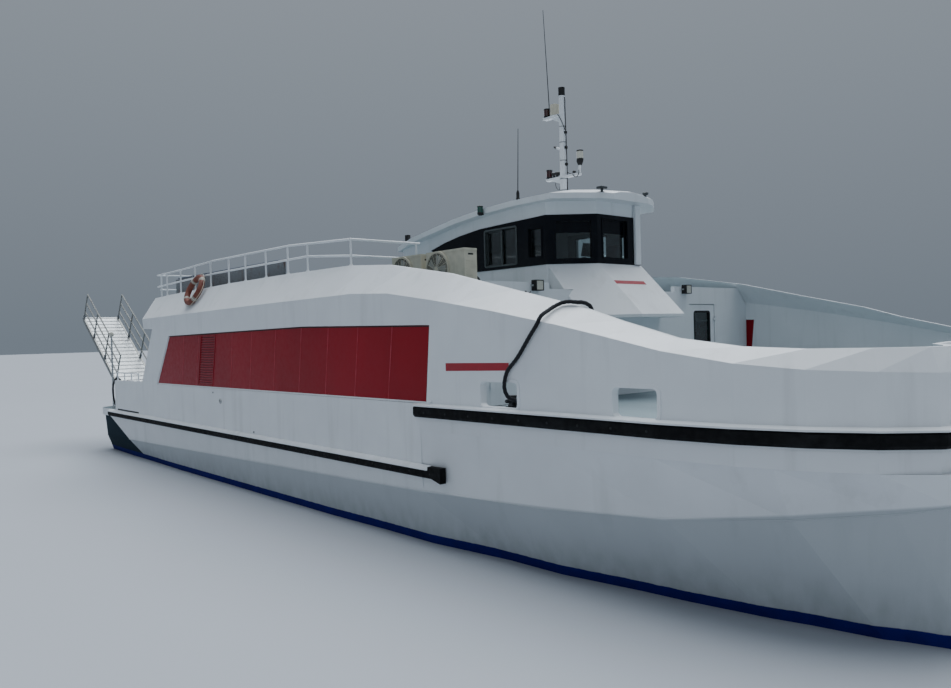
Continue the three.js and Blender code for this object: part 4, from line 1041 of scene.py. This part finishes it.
class FERRY_OT_fenders(bpy.types.Operator):
    """Fits the white caps and the bolts of the fenders"""
    bl_idname = "ferry.fenders"
    bl_label = "Fender caps"

    def execute(self, context):
        cap = context.scene.ferry_sizes.cap_height
        # sections of the caps: out from the side, and height
        section = ((0.0006, 1.2005), (0.06, 1.19), (0.0935, 1.152), (0.0935, 1.178 - cap),
                   (0.0865, 1.178 - cap), (0.0865, 1.147), (0.0565, 1.1835), (0.0006, 1.1935))
        rings = [[(x, SIDE_Y + out, z) for out, z in section] for x in (-10.4, 4.44)]
        mirror_pair("low_fender_cap", mesh_of(add_loft, rings), "enamel", "topside_paint")
        section = ((0.0006, 2.09), (0.064, 2.084), (0.0985, 2.068), (0.0985, 2.09 - cap),
                   (0.0915, 2.09 - cap), (0.0605, 2.066), (0.0006, 2.079))
        rings = [[(x + nx * out, y + ny * out, z + read(SHEER, x)) for out, z in section]
                 for x, y, nx, ny in BOW_EDGE]
        mirror_pair("bow_fender_cap", mesh_of(add_loft, rings), "enamel", "topside_paint")

        places = [(-10.2 + i * BOLT_PITCH, 0.085, 1.09) for i in range(31)]
        places += [(x, 0.09, 1.965 + read(SHEER, x)) for x in (4.4 + i * BOLT_PITCH for i in range(9))]
        bm = bmesh.new()
        for x, out, z in places:
            add_lathe(bm, [(0.016, -0.002), (0.016, 0.004), (0.009, 0.009)], (x, SIDE_Y + out, z), PORT, 8)
        mirror_pair("fender_bolts", bm, "dark", "fender_rubber")
        return {"FINISHED"}


def window_places():
    """Each wheelhouse window: its name, plane, outline and kind."""
    places = []
    for word, sign in SIDES:
        wall = Plane((0, sign * 1.3, 0), (-sign, 0, 0))
        for kind, x0, x1, z0, z1 in (("slide", 2.20, 3.06, 4.33, 5.01), ("quarter", 3.36, 3.70, 4.40, 4.93)):
            a, b = sorted((-sign * x0, -sign * x1))
            places.append((f"{kind}_{word}", wall, rounded(a, b, z0, z1, 0.03), kind))
        nx, ny = CORNER_NORMAL
        facet = Plane((CORNER_MID[0], sign * CORNER_MID[1], 0), (-sign * ny, nx, 0))
        a, b = sorted((sign * 0.29, -sign * 0.36))
        places.append((f"corner_{word}", facet, rounded(a, b, 4.34, 5.02, 0.03), "corner"))
    places.append(("front", Plane((4.36, 0, 0), PORT), rounded(-0.47, 0.23, 4.36, 5.06, 0.03), "front"))
    return places


class FERRY_OT_wheelhouse(bpy.types.Operator):
    """Lines and frames the wheelhouse windows"""
    bl_idname = "ferry.wheelhouse"
    bl_label = "Wheelhouse windows"

    def execute(self, context):
        sizes = context.scene.ferry_sizes
        for name, plane, outline, kind in window_places():
            low, high = min(p[0] for p in outline), max(p[0] for p in outline)
            foot, head = min(p[1] for p in outline), max(p[1] for p in outline)
            finish, slot = ("dulled", "steel") if kind == "slide" else ("band", "band_glass")
            bm = mesh_of(add_frame, plane, outline, -0.012, 0.0, -0.060, SKIN + 0.002)
            piece(f"window_liner_{name}", bm, finish, slot)
            bm = mesh_of(add_frame, plane, outline, -0.014, sizes.frame_width, SKIN, SKIN + 0.010)
            piece(f"window_frame_{name}", bm, finish, slot, bevel=0.003)
            bm = mesh_of(add_frame, plane, outline, -0.012 - sizes.gasket_width, -0.008, -0.0613, -0.048)
            piece(f"window_dark_rim_{name}", bm, "dark", "fender_rubber")
            if kind == "slide":
                middle = sum(p[0] for p in outline) / len(outline)
                foot, head = foot + 0.011, head - 0.011
                bar = rect(middle - 0.018, middle + 0.018, foot, head)
                bm = mesh_of(add_plate, plane, bar, -0.05, -0.012)
                sash = rounded(low + 0.014, middle, foot + 0.003, head - 0.003, 0.012)
                add_frame(bm, plane, sash, -0.024, 0.0, -0.06, -0.03)
                piece(f"window_sash_{name}", bm, "dulled", "steel", bevel=0.002)
            if kind in ("corner", "front"):
                # black ceramic sun band across the head of the pane
                band = rect(low + SUN_RIM, high - SUN_RIM, 4.81, head - SUN_RIM)
                bm = mesh_of(add_plate, plane, band, -0.0612, -0.0606)
                piece(f"sun_band_{name}", bm, "band", "band_glass")
        # cable trunk up the front, with its lid and screws
        front = Plane((HOUSE_FRONT, 0, 0), PORT)
        bm = mesh_of(add_plate, front, rounded(0.41, 0.56, 4.27, 5.352, 0.01), 0.0002, 0.045)
        add_plate(bm, front, rounded(0.422, 0.548, 4.30, 5.34, 0.008), 0.044, 0.049)
        for z in (4.36, 4.68, 5.0, 5.3):
            for y in (0.436, 0.534):
                add_lathe(bm, [(0.006, 0), (0.004, 0.003)], front.at(y, z, 0.0485), front.n, 8)
        piece("cable_trunk", bm, "enamel", "topside_paint", bevel=0.002)
        return {"FINISHED"}


class FERRY_OT_roof_gear(bpy.types.Operator):
    """Fits the side lamps, the lamps and the camera of the roof edge and the foot of the roof antenna"""
    bl_idname = "ferry.roof_gear"
    bl_label = "Roof lamps"

    def execute(self, context):
        for word, sign, lens in (("port", 1, "red_lens"), ("starboard", -1, "green_lens")):
            x, y, z = 2.37, sign * 1.562, 5.275
            inner, outer = sorted((sign * 1.5008, y))
            bm = mesh_of(add_lathe, [(0.03, 0), (0.058, 0.022), (0.058, 0.056)], (x, y, z))
            add_lathe(bm, [(0.058, 0.162), (0.058, 0.172), (0.03, 0.184)], (x, y, z))
            add_box(bm, (x - 0.03, inner, z + 0.01), (x + 0.03, outer, z + 0.03))
            piece(f"side_lamp_case_{word}", bm, "black", "console")
            bm = mesh_of(add_lathe, [(0.054, 0.054), (0.056, 0.108), (0.054, 0.164)], (x, y, z))
            piece(f"side_lamp_lens_{word}", bm, lens, "band_glass")

        bm = mesh_of(add_box, (4.50, -0.76, 5.524), (4.62, -0.60, 5.566))
        add_box(bm, (4.54, -0.70, 5.46), (4.58, -0.66, 5.53))
        piece("visor_lamp", bm, "slate", "antenna", bevel=0.008)
        camera = [(0.028, 0), (0.032, 0.012), (0.032, 0.075), (0.024, 0.095)]
        bm = mesh_of(add_lathe, camera, (4.59, 0.43, 5.535), (0.96, 0.27, 0), 18)
        add_box(bm, (4.615, 0.425, 5.47), (4.645, 0.455, 5.515))
        piece("visor_camera", bm, "slate", "antenna")
        bm = mesh_of(add_box, (-0.26, -1.395, 5.075), (-0.15, -1.32, 5.205))
        add_box(bm, (-0.22, -1.375, 5.03), (-0.19, -1.345, 5.08))
        piece("roof_aft_lamp", bm, "black", "console", bevel=0.01)
        foot = [(0.036, 0), (0.036, 0.02), (0.029, 0.03), (0.029, 0.115), (0.014, 0.16)]
        piece("antenna_foot", mesh_of(add_lathe, foot, (3.29, -1.47, 5.452)), "black", "antenna")
        return {"FINISHED"}


class FERRY_OT_helm(bpy.types.Operator):
    """Fits the helm's screens, wheel and chair and the ladder up from the saloon"""
    bl_idname = "ferry.helm"
    bl_label = "Helm"

    def execute(self, context):
        bm = bmesh.new()
        for y in (-0.38, 0.30):
            face = Plane((3.99, y, 4.535), PORT, (0.25, 0, 1))
            add_plate(bm, face, rounded(-0.19, 0.19, -0.12, 0.12, 0.012), -0.018, 0.018)
            add_bar(bm, (4.05, y, 4.355), (4.0, y, 4.5), 0.018)
        piece("helm_screens", bm, "band", "console", bevel=0.003)
        centre, across, upward = Vector((3.64, -0.25, 4.275)), Vector(PORT), Vector((0.62, 0, 0.78))
        ring = [centre + (upward * math.sin(t) + across * math.cos(t)) * 0.19 for t in even_angles(30)]
        bm = mesh_of(add_sweep, ring, circle(0.014, 8), closed=True, up=(-0.78, 0, 0.62))
        for i in (5, 15, 25):
            add_bar(bm, centre, ring[i], 0.008, 8)
        piece("helm_wheel", bm, "black", "console")
        bm = mesh_of(add_box, (2.62, -0.5, 3.98), (3.1, 0.0, 4.08))
        add_box(bm, (2.56, -0.48, 4.07), (2.65, -0.02, 4.76))
        for y in (-0.53, -0.02):
            add_box(bm, (2.65, y, 4.2), (3.0, y + 0.05, 4.24))
        add_bar(bm, (2.86, -0.25, 3.342), (2.86, -0.25, 3.99), 0.05, 16)
        piece("helm_chair", bm, "console", "console", bevel=0.02)
        bm = bmesh.new()
        for y in (-0.24, 0.24):
            add_bar(bm, (1.62, y, MAIN_DECK), (1.50, y, 3.95), 0.019)
        for i in range(8):
            z = MAIN_DECK + 0.27 * (i + 1)
            x = 1.62 - 0.12 * (z - MAIN_DECK) / 2.75
            add_bar(bm, (x, -0.24, z), (x, 0.24, z), 0.015)
        piece("hatch_ladder", bm, "stainless", "steel")
        return {"FINISHED"}


def mast_radius(z):
    return 0.0725 - (z - 5.45) * 0.0079


class FERRY_OT_mast(bpy.types.Operator):
    """Fits the lamps, the receiver dome, the cables, the horn and the clips of the mast"""
    bl_idname = "ferry.mast"
    bl_label = "Mast lamps"

    def execute(self, context):
        # name, lens, foot of the lamp, its radius and height
        for name, lens, x, z, r, h in (
                ("mast_lamp_upper", "red_lens", MAST_X - 0.40, 7.2625, 0.058, 0.183),
                ("mast_lamp_lower", "red_lens", MAST_X - 0.37, 6.0625, 0.058, 0.183),
                ("mast_lamp_forward", "clear_lens", MAST_X + 0.43, 6.288, 0.062, 0.2),
                ("mast_lamp_top", "black", MAST_X, 7.601, 0.062, 0.166)):
            bm = mesh_of(add_lathe, [(r + 0.0008, 0.03), (r + 0.0008, h - 0.02)], (x, 0, z))
            piece(f"{name}_lens", bm, lens, "band_glass")
            rim = r + 0.0024
            bm = mesh_of(add_lathe, [(r + 0.0015, -0.0005), (rim, 0.008), (rim, 0.036)], (x, 0, z))
            add_lathe(bm, [(rim, h - 0.03), (rim, h - 0.008), (r * 0.7, h), (0, h + 0.002)], (x, 0, z))
            piece(f"{name}_case", bm, "black", "console")
        dome = [(0.087, 0), (0.089, 0.015), (0.088, 0.13), (0.087, 0.209), (0.05, 0.222), (0, 0.225)]
        bm = mesh_of(add_lathe, dome, (MAST_X - 0.19, 0, 7.2625))
        piece("mast_receiver_dome", bm, "casing", "condenser_case")
        bm = bmesh.new()
        for rows, step, radius in MAST_CABLES:
            add_cable(bm, rows, step, radius)
        piece("mast_cables", bm, "black", "console", smooth=80)

        # horn on the lower arm, with its two feet
        horn = [(0.03, 0), (0.036, 0.012), (0.036, 0.1), (0.024, 0.125), (0.022, 0.16), (0.034, 0.2),
                (0.031, 0.2), (0.012, 0.165)]
        bm = mesh_of(add_lathe, horn, (MAST_X - 0.085, -0.01, 6.128), (-1, 0, 0.1), 18)
        for x in (MAST_X - 0.15, MAST_X - 0.235):
            add_box(bm, (x - 0.012, -0.035, 6.0612), (x + 0.012, 0.015, 6.115))
        # gland on the forward arm, funnel under its lamp, cable glands up the mast, tip of the stub arm
        gland = [(0.03, 0), (0.034, 0.01), (0.034, 0.045), (0.02, 0.06)]
        add_lathe(bm, gland, (MAST_X + 0.285, -0.01, 6.0618), sides=16)
        funnel = [(0.036, 0), (0.04, 0.01), (0.064, 0.07), (0.064, 0.092)]
        add_lathe(bm, funnel, (MAST_X + 0.425, 0, 6.2))
        for z in (6.28, 6.603, 6.891):
            x = MAST_X + mast_radius(z)
            add_box(bm, (x - 0.012, -0.018, z - 0.024), (x + 0.03, 0.034, z + 0.024))
        add_lathe(bm, [(0.0238, 0), (0.0238, 0.055), (0.012, 0.078), (0, 0.08)], (2.889, 0, 6.6355),
                  (-0.905, 0, 0.426), 12)
        piece("mast_gear", bm, "black", "console", bevel=0.002)
        bm = bmesh.new()
        for z in (5.78, 6.0, 6.35, 6.7, 7.0):
            ring = circle(mast_radius(z) + 0.0028, 24)
            add_frame(bm, Plane((MAST_X, 0, z), FORWARD, PORT), ring, -0.004, 0.0, 0, 0.018)
        add_frame(bm, Plane((MAST_X, 0, 5.61), FORWARD, PORT), circle(0.12, 24), -0.044, 0.032, -0.01, 0.02)
        for x, y in circle(0.125, 6):
            add_lathe(bm, [(0.011, 0), (0.011, 0.009), (0, 0.011)], (MAST_X + x, y, 5.629), sides=6)
        piece("mast_clips", bm, "stainless", "steel")
        return {"FINISHED"}


class FERRY_OT_condensers(bpy.types.Operator):
    """Fits the fan guards, blades, joints and pipes of the two condensers, and dark plates of painted shade
    in their fan openings and grips
    """
    bl_idname = "ferry.condensers"
    bl_label = "Condensers"

    def execute(self, context):
        r = FAN_RADIUS
        near, far = CASE_Y
        foot, top = CASE_Z
        middle, half_deep = (near + far) / 2, (far - near) / 2 + 0.008
        for word, x0, x1 in (("forward", 2.945, 3.93), ("aft", 1.957, 2.8)):
            face = Plane((x0 + r + 0.03, near, (foot + top) / 2), FORWARD)
            # dark disc behind the blades: painted shade inside the fan opening
            bm = mesh_of(add_plate, face, circle(r - 0.008, 40), 0.019, 0.0215)
            piece(f"fan_well_shade_{word}", bm, "dark", "console")
            bm = bmesh.new()
            # corners of a blade: distance from the hub and angle
            blade = ((0.05, 0.0), (r * 0.83, -0.3), (r * 0.87, 0.25), (0.06, 0.8))
            for t in even_angles(5):
                outline = [(d * math.cos(t + turn), d * math.sin(t + turn)) for d, turn in blade]
                add_plate(bm, face, outline, 0.022, 0.026)
            add_lathe(bm, [(0.062, 0), (0.062, 0.01), (0.03, 0.016)], face.at(0, 0, 0.021), face.n)
            piece(f"fan_blades_{word}", bm, "grey", "antenna")
            bm = bmesh.new()
            radius = 0.045
            while radius < r:
                ring = [face.at(a, b, 0.04 - 0.04 * radius) for a, b in circle(radius, 40)]
                add_sweep(bm, ring, circle(0.0026, 5), closed=True, up=face.n)
                radius += context.scene.ferry_sizes.grille_pitch
            for a, b in zip(circle(0.04, 16), circle(r + 0.01, 16)):
                add_bar(bm, face.at(*a, 0.038), face.at(*b, 0.0245), 0.0034, 6)
            add_lathe(bm, [(0.045, 0), (0.045, 0.004), (0, 0.006)], face.at(0, 0, 0.037), face.n, 24)
            add_frame(bm, face, circle(r + 0.014, 48), -0.012, 0.010, -0.002, 0.026)
            piece(f"fan_guard_{word}", bm, "casing", "condenser_case")

            # service panel, lid with its screws, slots of the forward end
            service = Plane((x1 - 0.12, near, (foot + top) / 2), FORWARD)
            panel = rounded(-0.11, 0.10, -0.26, 0.26, 0.012)
            bm = mesh_of(add_frame, service, panel, -0.003, 0.003, -0.001, 0.002)
            half_wide = (x1 - x0) / 2 + 0.008
            lid = rounded(-half_wide, half_wide, -half_deep, half_deep, 0.02)
            add_frame(bm, Plane(((x0 + x1) / 2, middle, top), FORWARD, PORT), lid, -0.02, 0.0, -0.03, 0.004)
            for x in (x1 - 0.25, x1 - 0.012):
                for z in (foot + 0.05, top - 0.045):
                    add_lathe(bm, [(0.007, 0), (0.005, 0.003)], (x, near, z), STARBOARD, 8)
            for i in range(7):
                end = Plane((x1, middle, foot + 0.12 + i * 0.045), PORT)
                add_plate(bm, end, rect(-0.09, 0.09, 0, 0.012), -0.001, 0.006)
            piece(f"casing_joints_{word}", bm, "casing", "condenser_case")
            # dark plate as painted shade of a recessed grip at the head of the forward end
            grip = Plane((x1, middle, top - 0.09), PORT)
            bm = mesh_of(add_plate, grip, rounded(-0.055, 0.055, -0.014, 0.014, 0.01), -0.004, 0.0008)
            piece(f"casing_grip_shade_{word}", bm, "dark", "console")
            at, back = x1 - 0.08, far + 0.001
            pipe = [(at, back, 4.0), (at, back + 0.06, 3.98), (at - 0.01, back + 0.13, 3.9),
                    (at - 0.01, back + 0.14, 3.802)]
            bm = mesh_of(add_cable, pipe, 0.03, 0.028, 12)
            piece(f"condenser_pipe_{word}", bm, "black", "console", smooth=80)
        return {"FINISHED"}


class FERRY_OT_rails(bpy.types.Operator):
    """Fits the flanges under the posts of the upper rails"""
    bl_idname = "ferry.rails"
    bl_label = "Rail flanges"

    def execute(self, context):
        r = context.scene.ferry_sizes.flange_radius
        profile = [(r, -0.006), (r, 0.008), (0.026, 0.014), (0.024, 0.03)]
        side, aft = bmesh.new(), bmesh.new()
        for x in RAIL_POSTS:
            add_lathe(side, profile, (x, 3.99, read(COAMING, x)), sides=20)
        add_lathe(side, profile, (RAIL_POSTS[-1], 2.584, UPPER_DECK), sides=20)
        for i in range(7):
            add_lathe(aft, profile, (-7.64, -3.9 + i * 6.59 / 6, UPPER_DECK), sides=20)
        mirror_pair("rail_flanges", side, "enamel", "topside_paint")
        piece("aft_rail_flanges", aft, "enamel", "topside_paint")
        return {"FINISHED"}


def rim(rows):
    """The points round the edge of a grid."""
    ahead, back = [row[-1] for row in rows[1:]], [row[0] for row in rows[-2:0:-1]]
    return rows[0] + ahead + rows[-1][-2::-1] + back


def add_seat(bm, x, y, z, facing, width=0.42):
    """A moulded seat shell at the middle of its seat; facing is the direction that it looks in plan."""
    forward = Vector((*facing, 0)).normalized()
    across = Vector((-forward.y, forward.x, 0))
    grid = []
    for d, h, curl in SEAT_LINE:
        row = []
        lifted = forward if d < -0.15 else Vector(UP)
        for k in range(7):
            s = k / 3 - 1
            p = Vector((x, y, z + h)) + forward * d + across * (s * width / 2)
            row.append(p + lifted * (curl * s * s * 1.6))
        grid.append(row)
    back = []
    for i, row in enumerate(grid):
        a, b = grid[max(i - 1, 0)][3], grid[min(i + 1, len(grid) - 1)][3]
        normal = across.cross(b - a).normalized() * 0.012
        back.append([p + normal for p in row])
    shells = [[[bm.verts.new(p) for p in row] for row in rows] for rows in (grid, back)]
    for rows in shells:
        for a, b in zip(rows, rows[1:]):
            for k in range(6):
                bm.faces.new((a[k], a[k + 1], b[k + 1], b[k]))
    edges = list(zip(rim(shells[0]), rim(shells[1])))
    for (a, c), (b, d) in zip(edges, edges[1:] + edges[:1]):
        bm.faces.new((a, b, d, c))


class FERRY_OT_seats(bpy.types.Operator):
    """Fits the moulded seats of the benches and the rows of seats in the saloon"""
    bl_idname = "ferry.seats"
    bl_label = "Seats"

    def execute(self, context):
        pitch = context.scene.ferry_sizes.seat_pitch
        side, centre = bmesh.new(), bmesh.new()
        # aft end of each bench, y of its seats and the way they look
        for bm, aft_end, places in ((side, -6.9, ((3.545, -1),)), (centre, -6.3, ((0.245, 1), (-0.245, -1)))):
            x = aft_end + pitch / 2 + 0.04
            while x < BENCH_END - pitch / 2 + 0.01:
                for y, facing in places:
                    add_seat(bm, x, y, BENCH_Z, (0, facing))
                x += pitch
        mirror_pair("bench_seats", side, "seat", "seat")
        piece("bench_centre_seats", centre, "seat", "seat")
        shells, legs = bmesh.new(), bmesh.new()
        for row in range(12):
            x = -5.9 + row * 0.82
            for middle in (-3.2, -1.5, 1.5, 3.2):
                for k in (-1, 0, 1):
                    add_seat(shells, x, middle + k * pitch, MAIN_DECK + 0.42, (1, 0))
                add_box(legs, (x - 0.17, middle - 0.68, MAIN_DECK + 0.36),
                        (x + 0.17, middle + 0.68, MAIN_DECK + 0.40))
                for y in (middle - 0.5, middle + 0.5):
                    add_bar(legs, (x, y, MAIN_DECK + 0.001), (x, y, MAIN_DECK + 0.37), 0.03, 10)
        piece("saloon_seats", shells, "seat", "seat")
        piece("saloon_seat_legs", legs, "stainless", "steel")
        return {"FINISHED"}


class FERRY_OT_lifebuoys(bpy.types.Operator):
    """Finishes the ring buoy that leans on the upper rail, with its tape and its grab line"""
    bl_idname = "ferry.lifebuoys"
    bl_label = "Lifebuoy"

    def execute(self, context):
        centre, radius, tube = Vector((-4.67, -4.214, 4.25)), 0.32, 0.0665
        turn = Vector((0, -0.9063, 0.4226)).normalized().to_track_quat("Z", "Y")
        buoy, tape, line = bmesh.new(), bmesh.new(), bmesh.new()

        def at(t, r, out):
            return centre + turn @ Vector((r * math.cos(t), r * math.sin(t), out))

        def sleeve(bm, angles, r, closed=False):
            add_loft(bm, [[at(t, radius + a, b) for a, b in circle(r, 16)] for t in angles], closed)

        sleeve(buoy, even_angles(56), tube, closed=True)
        for k in range(4):
            middle = math.tau * (k + 0.5) / 4
            sleeve(tape, [middle - 0.13 + 0.26 * i / 5 for i in range(6)], tube + 0.002)
            path = []
            for i in range(13):
                bow = math.sin(math.pi * i / 12)
                t = middle + math.tau / 4 * i / 12
                path.append(at(t, radius + tube + 0.006 + 0.02 * bow, -0.012 * bow))
            add_sweep(line, path, circle(0.006, 8))
            sleeve(line, (middle - 0.018, middle, middle + 0.018), tube + 0.008)
        ring = piece("lifebuoy_shell", buoy, "buoy", "lifebuoy", smooth=80)
        piece("lifebuoy_tape", tape, "tape", "lifebuoy", smooth=80)
        piece("lifebuoy_line", line, "line", "rope", smooth=80)
        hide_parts("lifebuoy")
        return {"FINISHED"}


class FERRY_OT_gangway(bpy.types.Operator):
    """Fits the wear plate, the cleats and the post sockets of the stern gangway and the stair's nosings"""
    bl_idname = "ferry.gangway"
    bl_label = "Gangway and stair"

    def execute(self, context):
        t = math.radians(GANGWAY_RISE)
        ramp = Plane(GANGWAY_HINGE, (math.cos(t), 0, -math.sin(t)), PORT)
        bm = mesh_of(add_plate, ramp, rect(-4.55, -0.065, -0.515, 0.515), 0.0405, 0.0435)
        piece("gangway_plate", bm, "anodised", "gangway_metal", "gangway")
        bm = bmesh.new()
        for i in range(22):
            s = 0.3 + i * 0.2
            add_plate(bm, ramp, rect(-s - 0.02, -s + 0.02, -0.5, 0.5), 0.0395, 0.05)
        piece("gangway_cleats", bm, "zinc", "gangway_metal", "gangway", bevel=0.002)
        bm = bmesh.new()
        socket = [(0.034, 0), (0.034, 0.13), (0.025, 0.15)]
        for y in (-4.128, -3.093):
            for s in (0.9, 2.1, 3.3, 4.48):
                add_lathe(bm, socket, ramp.at(-s, y - GANGWAY_HINGE[1], 0.02), ramp.n, 16)
        piece("gangway_sockets", bm, "zinc", "gangway_metal", "gangway")
        bm = bmesh.new()
        for i in range(1, 11):
            x, z = -10.01 + i * 0.205, MAIN_DECK + i * 0.236
            add_box(bm, (x - 0.1205, 2.775, z - 0.03), (x - 0.085, 3.625, z + 0.004))
        piece("stair_nosings", bm, "black", "console", bevel=0.002)
        return {"FINISHED"}


# Panel, registration and the making
class FERRY_PT_finish(bpy.types.Panel):
    """The ferry's finish: its settings and its pieces in their order"""
    bl_idname = "FERRY_PT_finish"
    bl_label = "Ferry Finish"
    bl_space_type = "VIEW_3D"
    bl_region_type = "UI"
    bl_category = "Ferry"

    def draw(self, context):
        layout = self.layout
        for group in (context.scene.ferry_paint, context.scene.ferry_sizes):
            box = layout.box()
            for key in group.__annotations__:
                box.prop(group, key)
        for operator in OPERATORS:
            layout.operator(operator.bl_idname)


OPERATORS = (
    FERRY_OT_studio, FERRY_OT_ropes, FERRY_OT_bitt_turns, FERRY_OT_paint, FERRY_OT_saloon_sides,
    FERRY_OT_side_fittings, FERRY_OT_bow_sides, FERRY_OT_doors, FERRY_OT_fenders, FERRY_OT_wheelhouse,
    FERRY_OT_roof_gear, FERRY_OT_helm, FERRY_OT_mast, FERRY_OT_condensers, FERRY_OT_rails, FERRY_OT_seats,
    FERRY_OT_lifebuoys, FERRY_OT_gangway,
)
CLASSES = (FerryPaint, FerrySizes, *OPERATORS, FERRY_PT_finish)


def register():
    for cls in CLASSES:
        bpy.utils.register_class(cls)
    bpy.types.Scene.ferry_paint = bpy.props.PointerProperty(type=FerryPaint)
    bpy.types.Scene.ferry_sizes = bpy.props.PointerProperty(type=FerrySizes)


def unregister():
    del bpy.types.Scene.ferry_sizes
    del bpy.types.Scene.ferry_paint
    for cls in reversed(CLASSES):
        bpy.utils.unregister_class(cls)


def main():
    register()
    for operator in OPERATORS:
        group, name = operator.bl_idname.split(".")
        getattr(getattr(bpy.ops, group), name)()


if __name__ == "__main__":
    main()
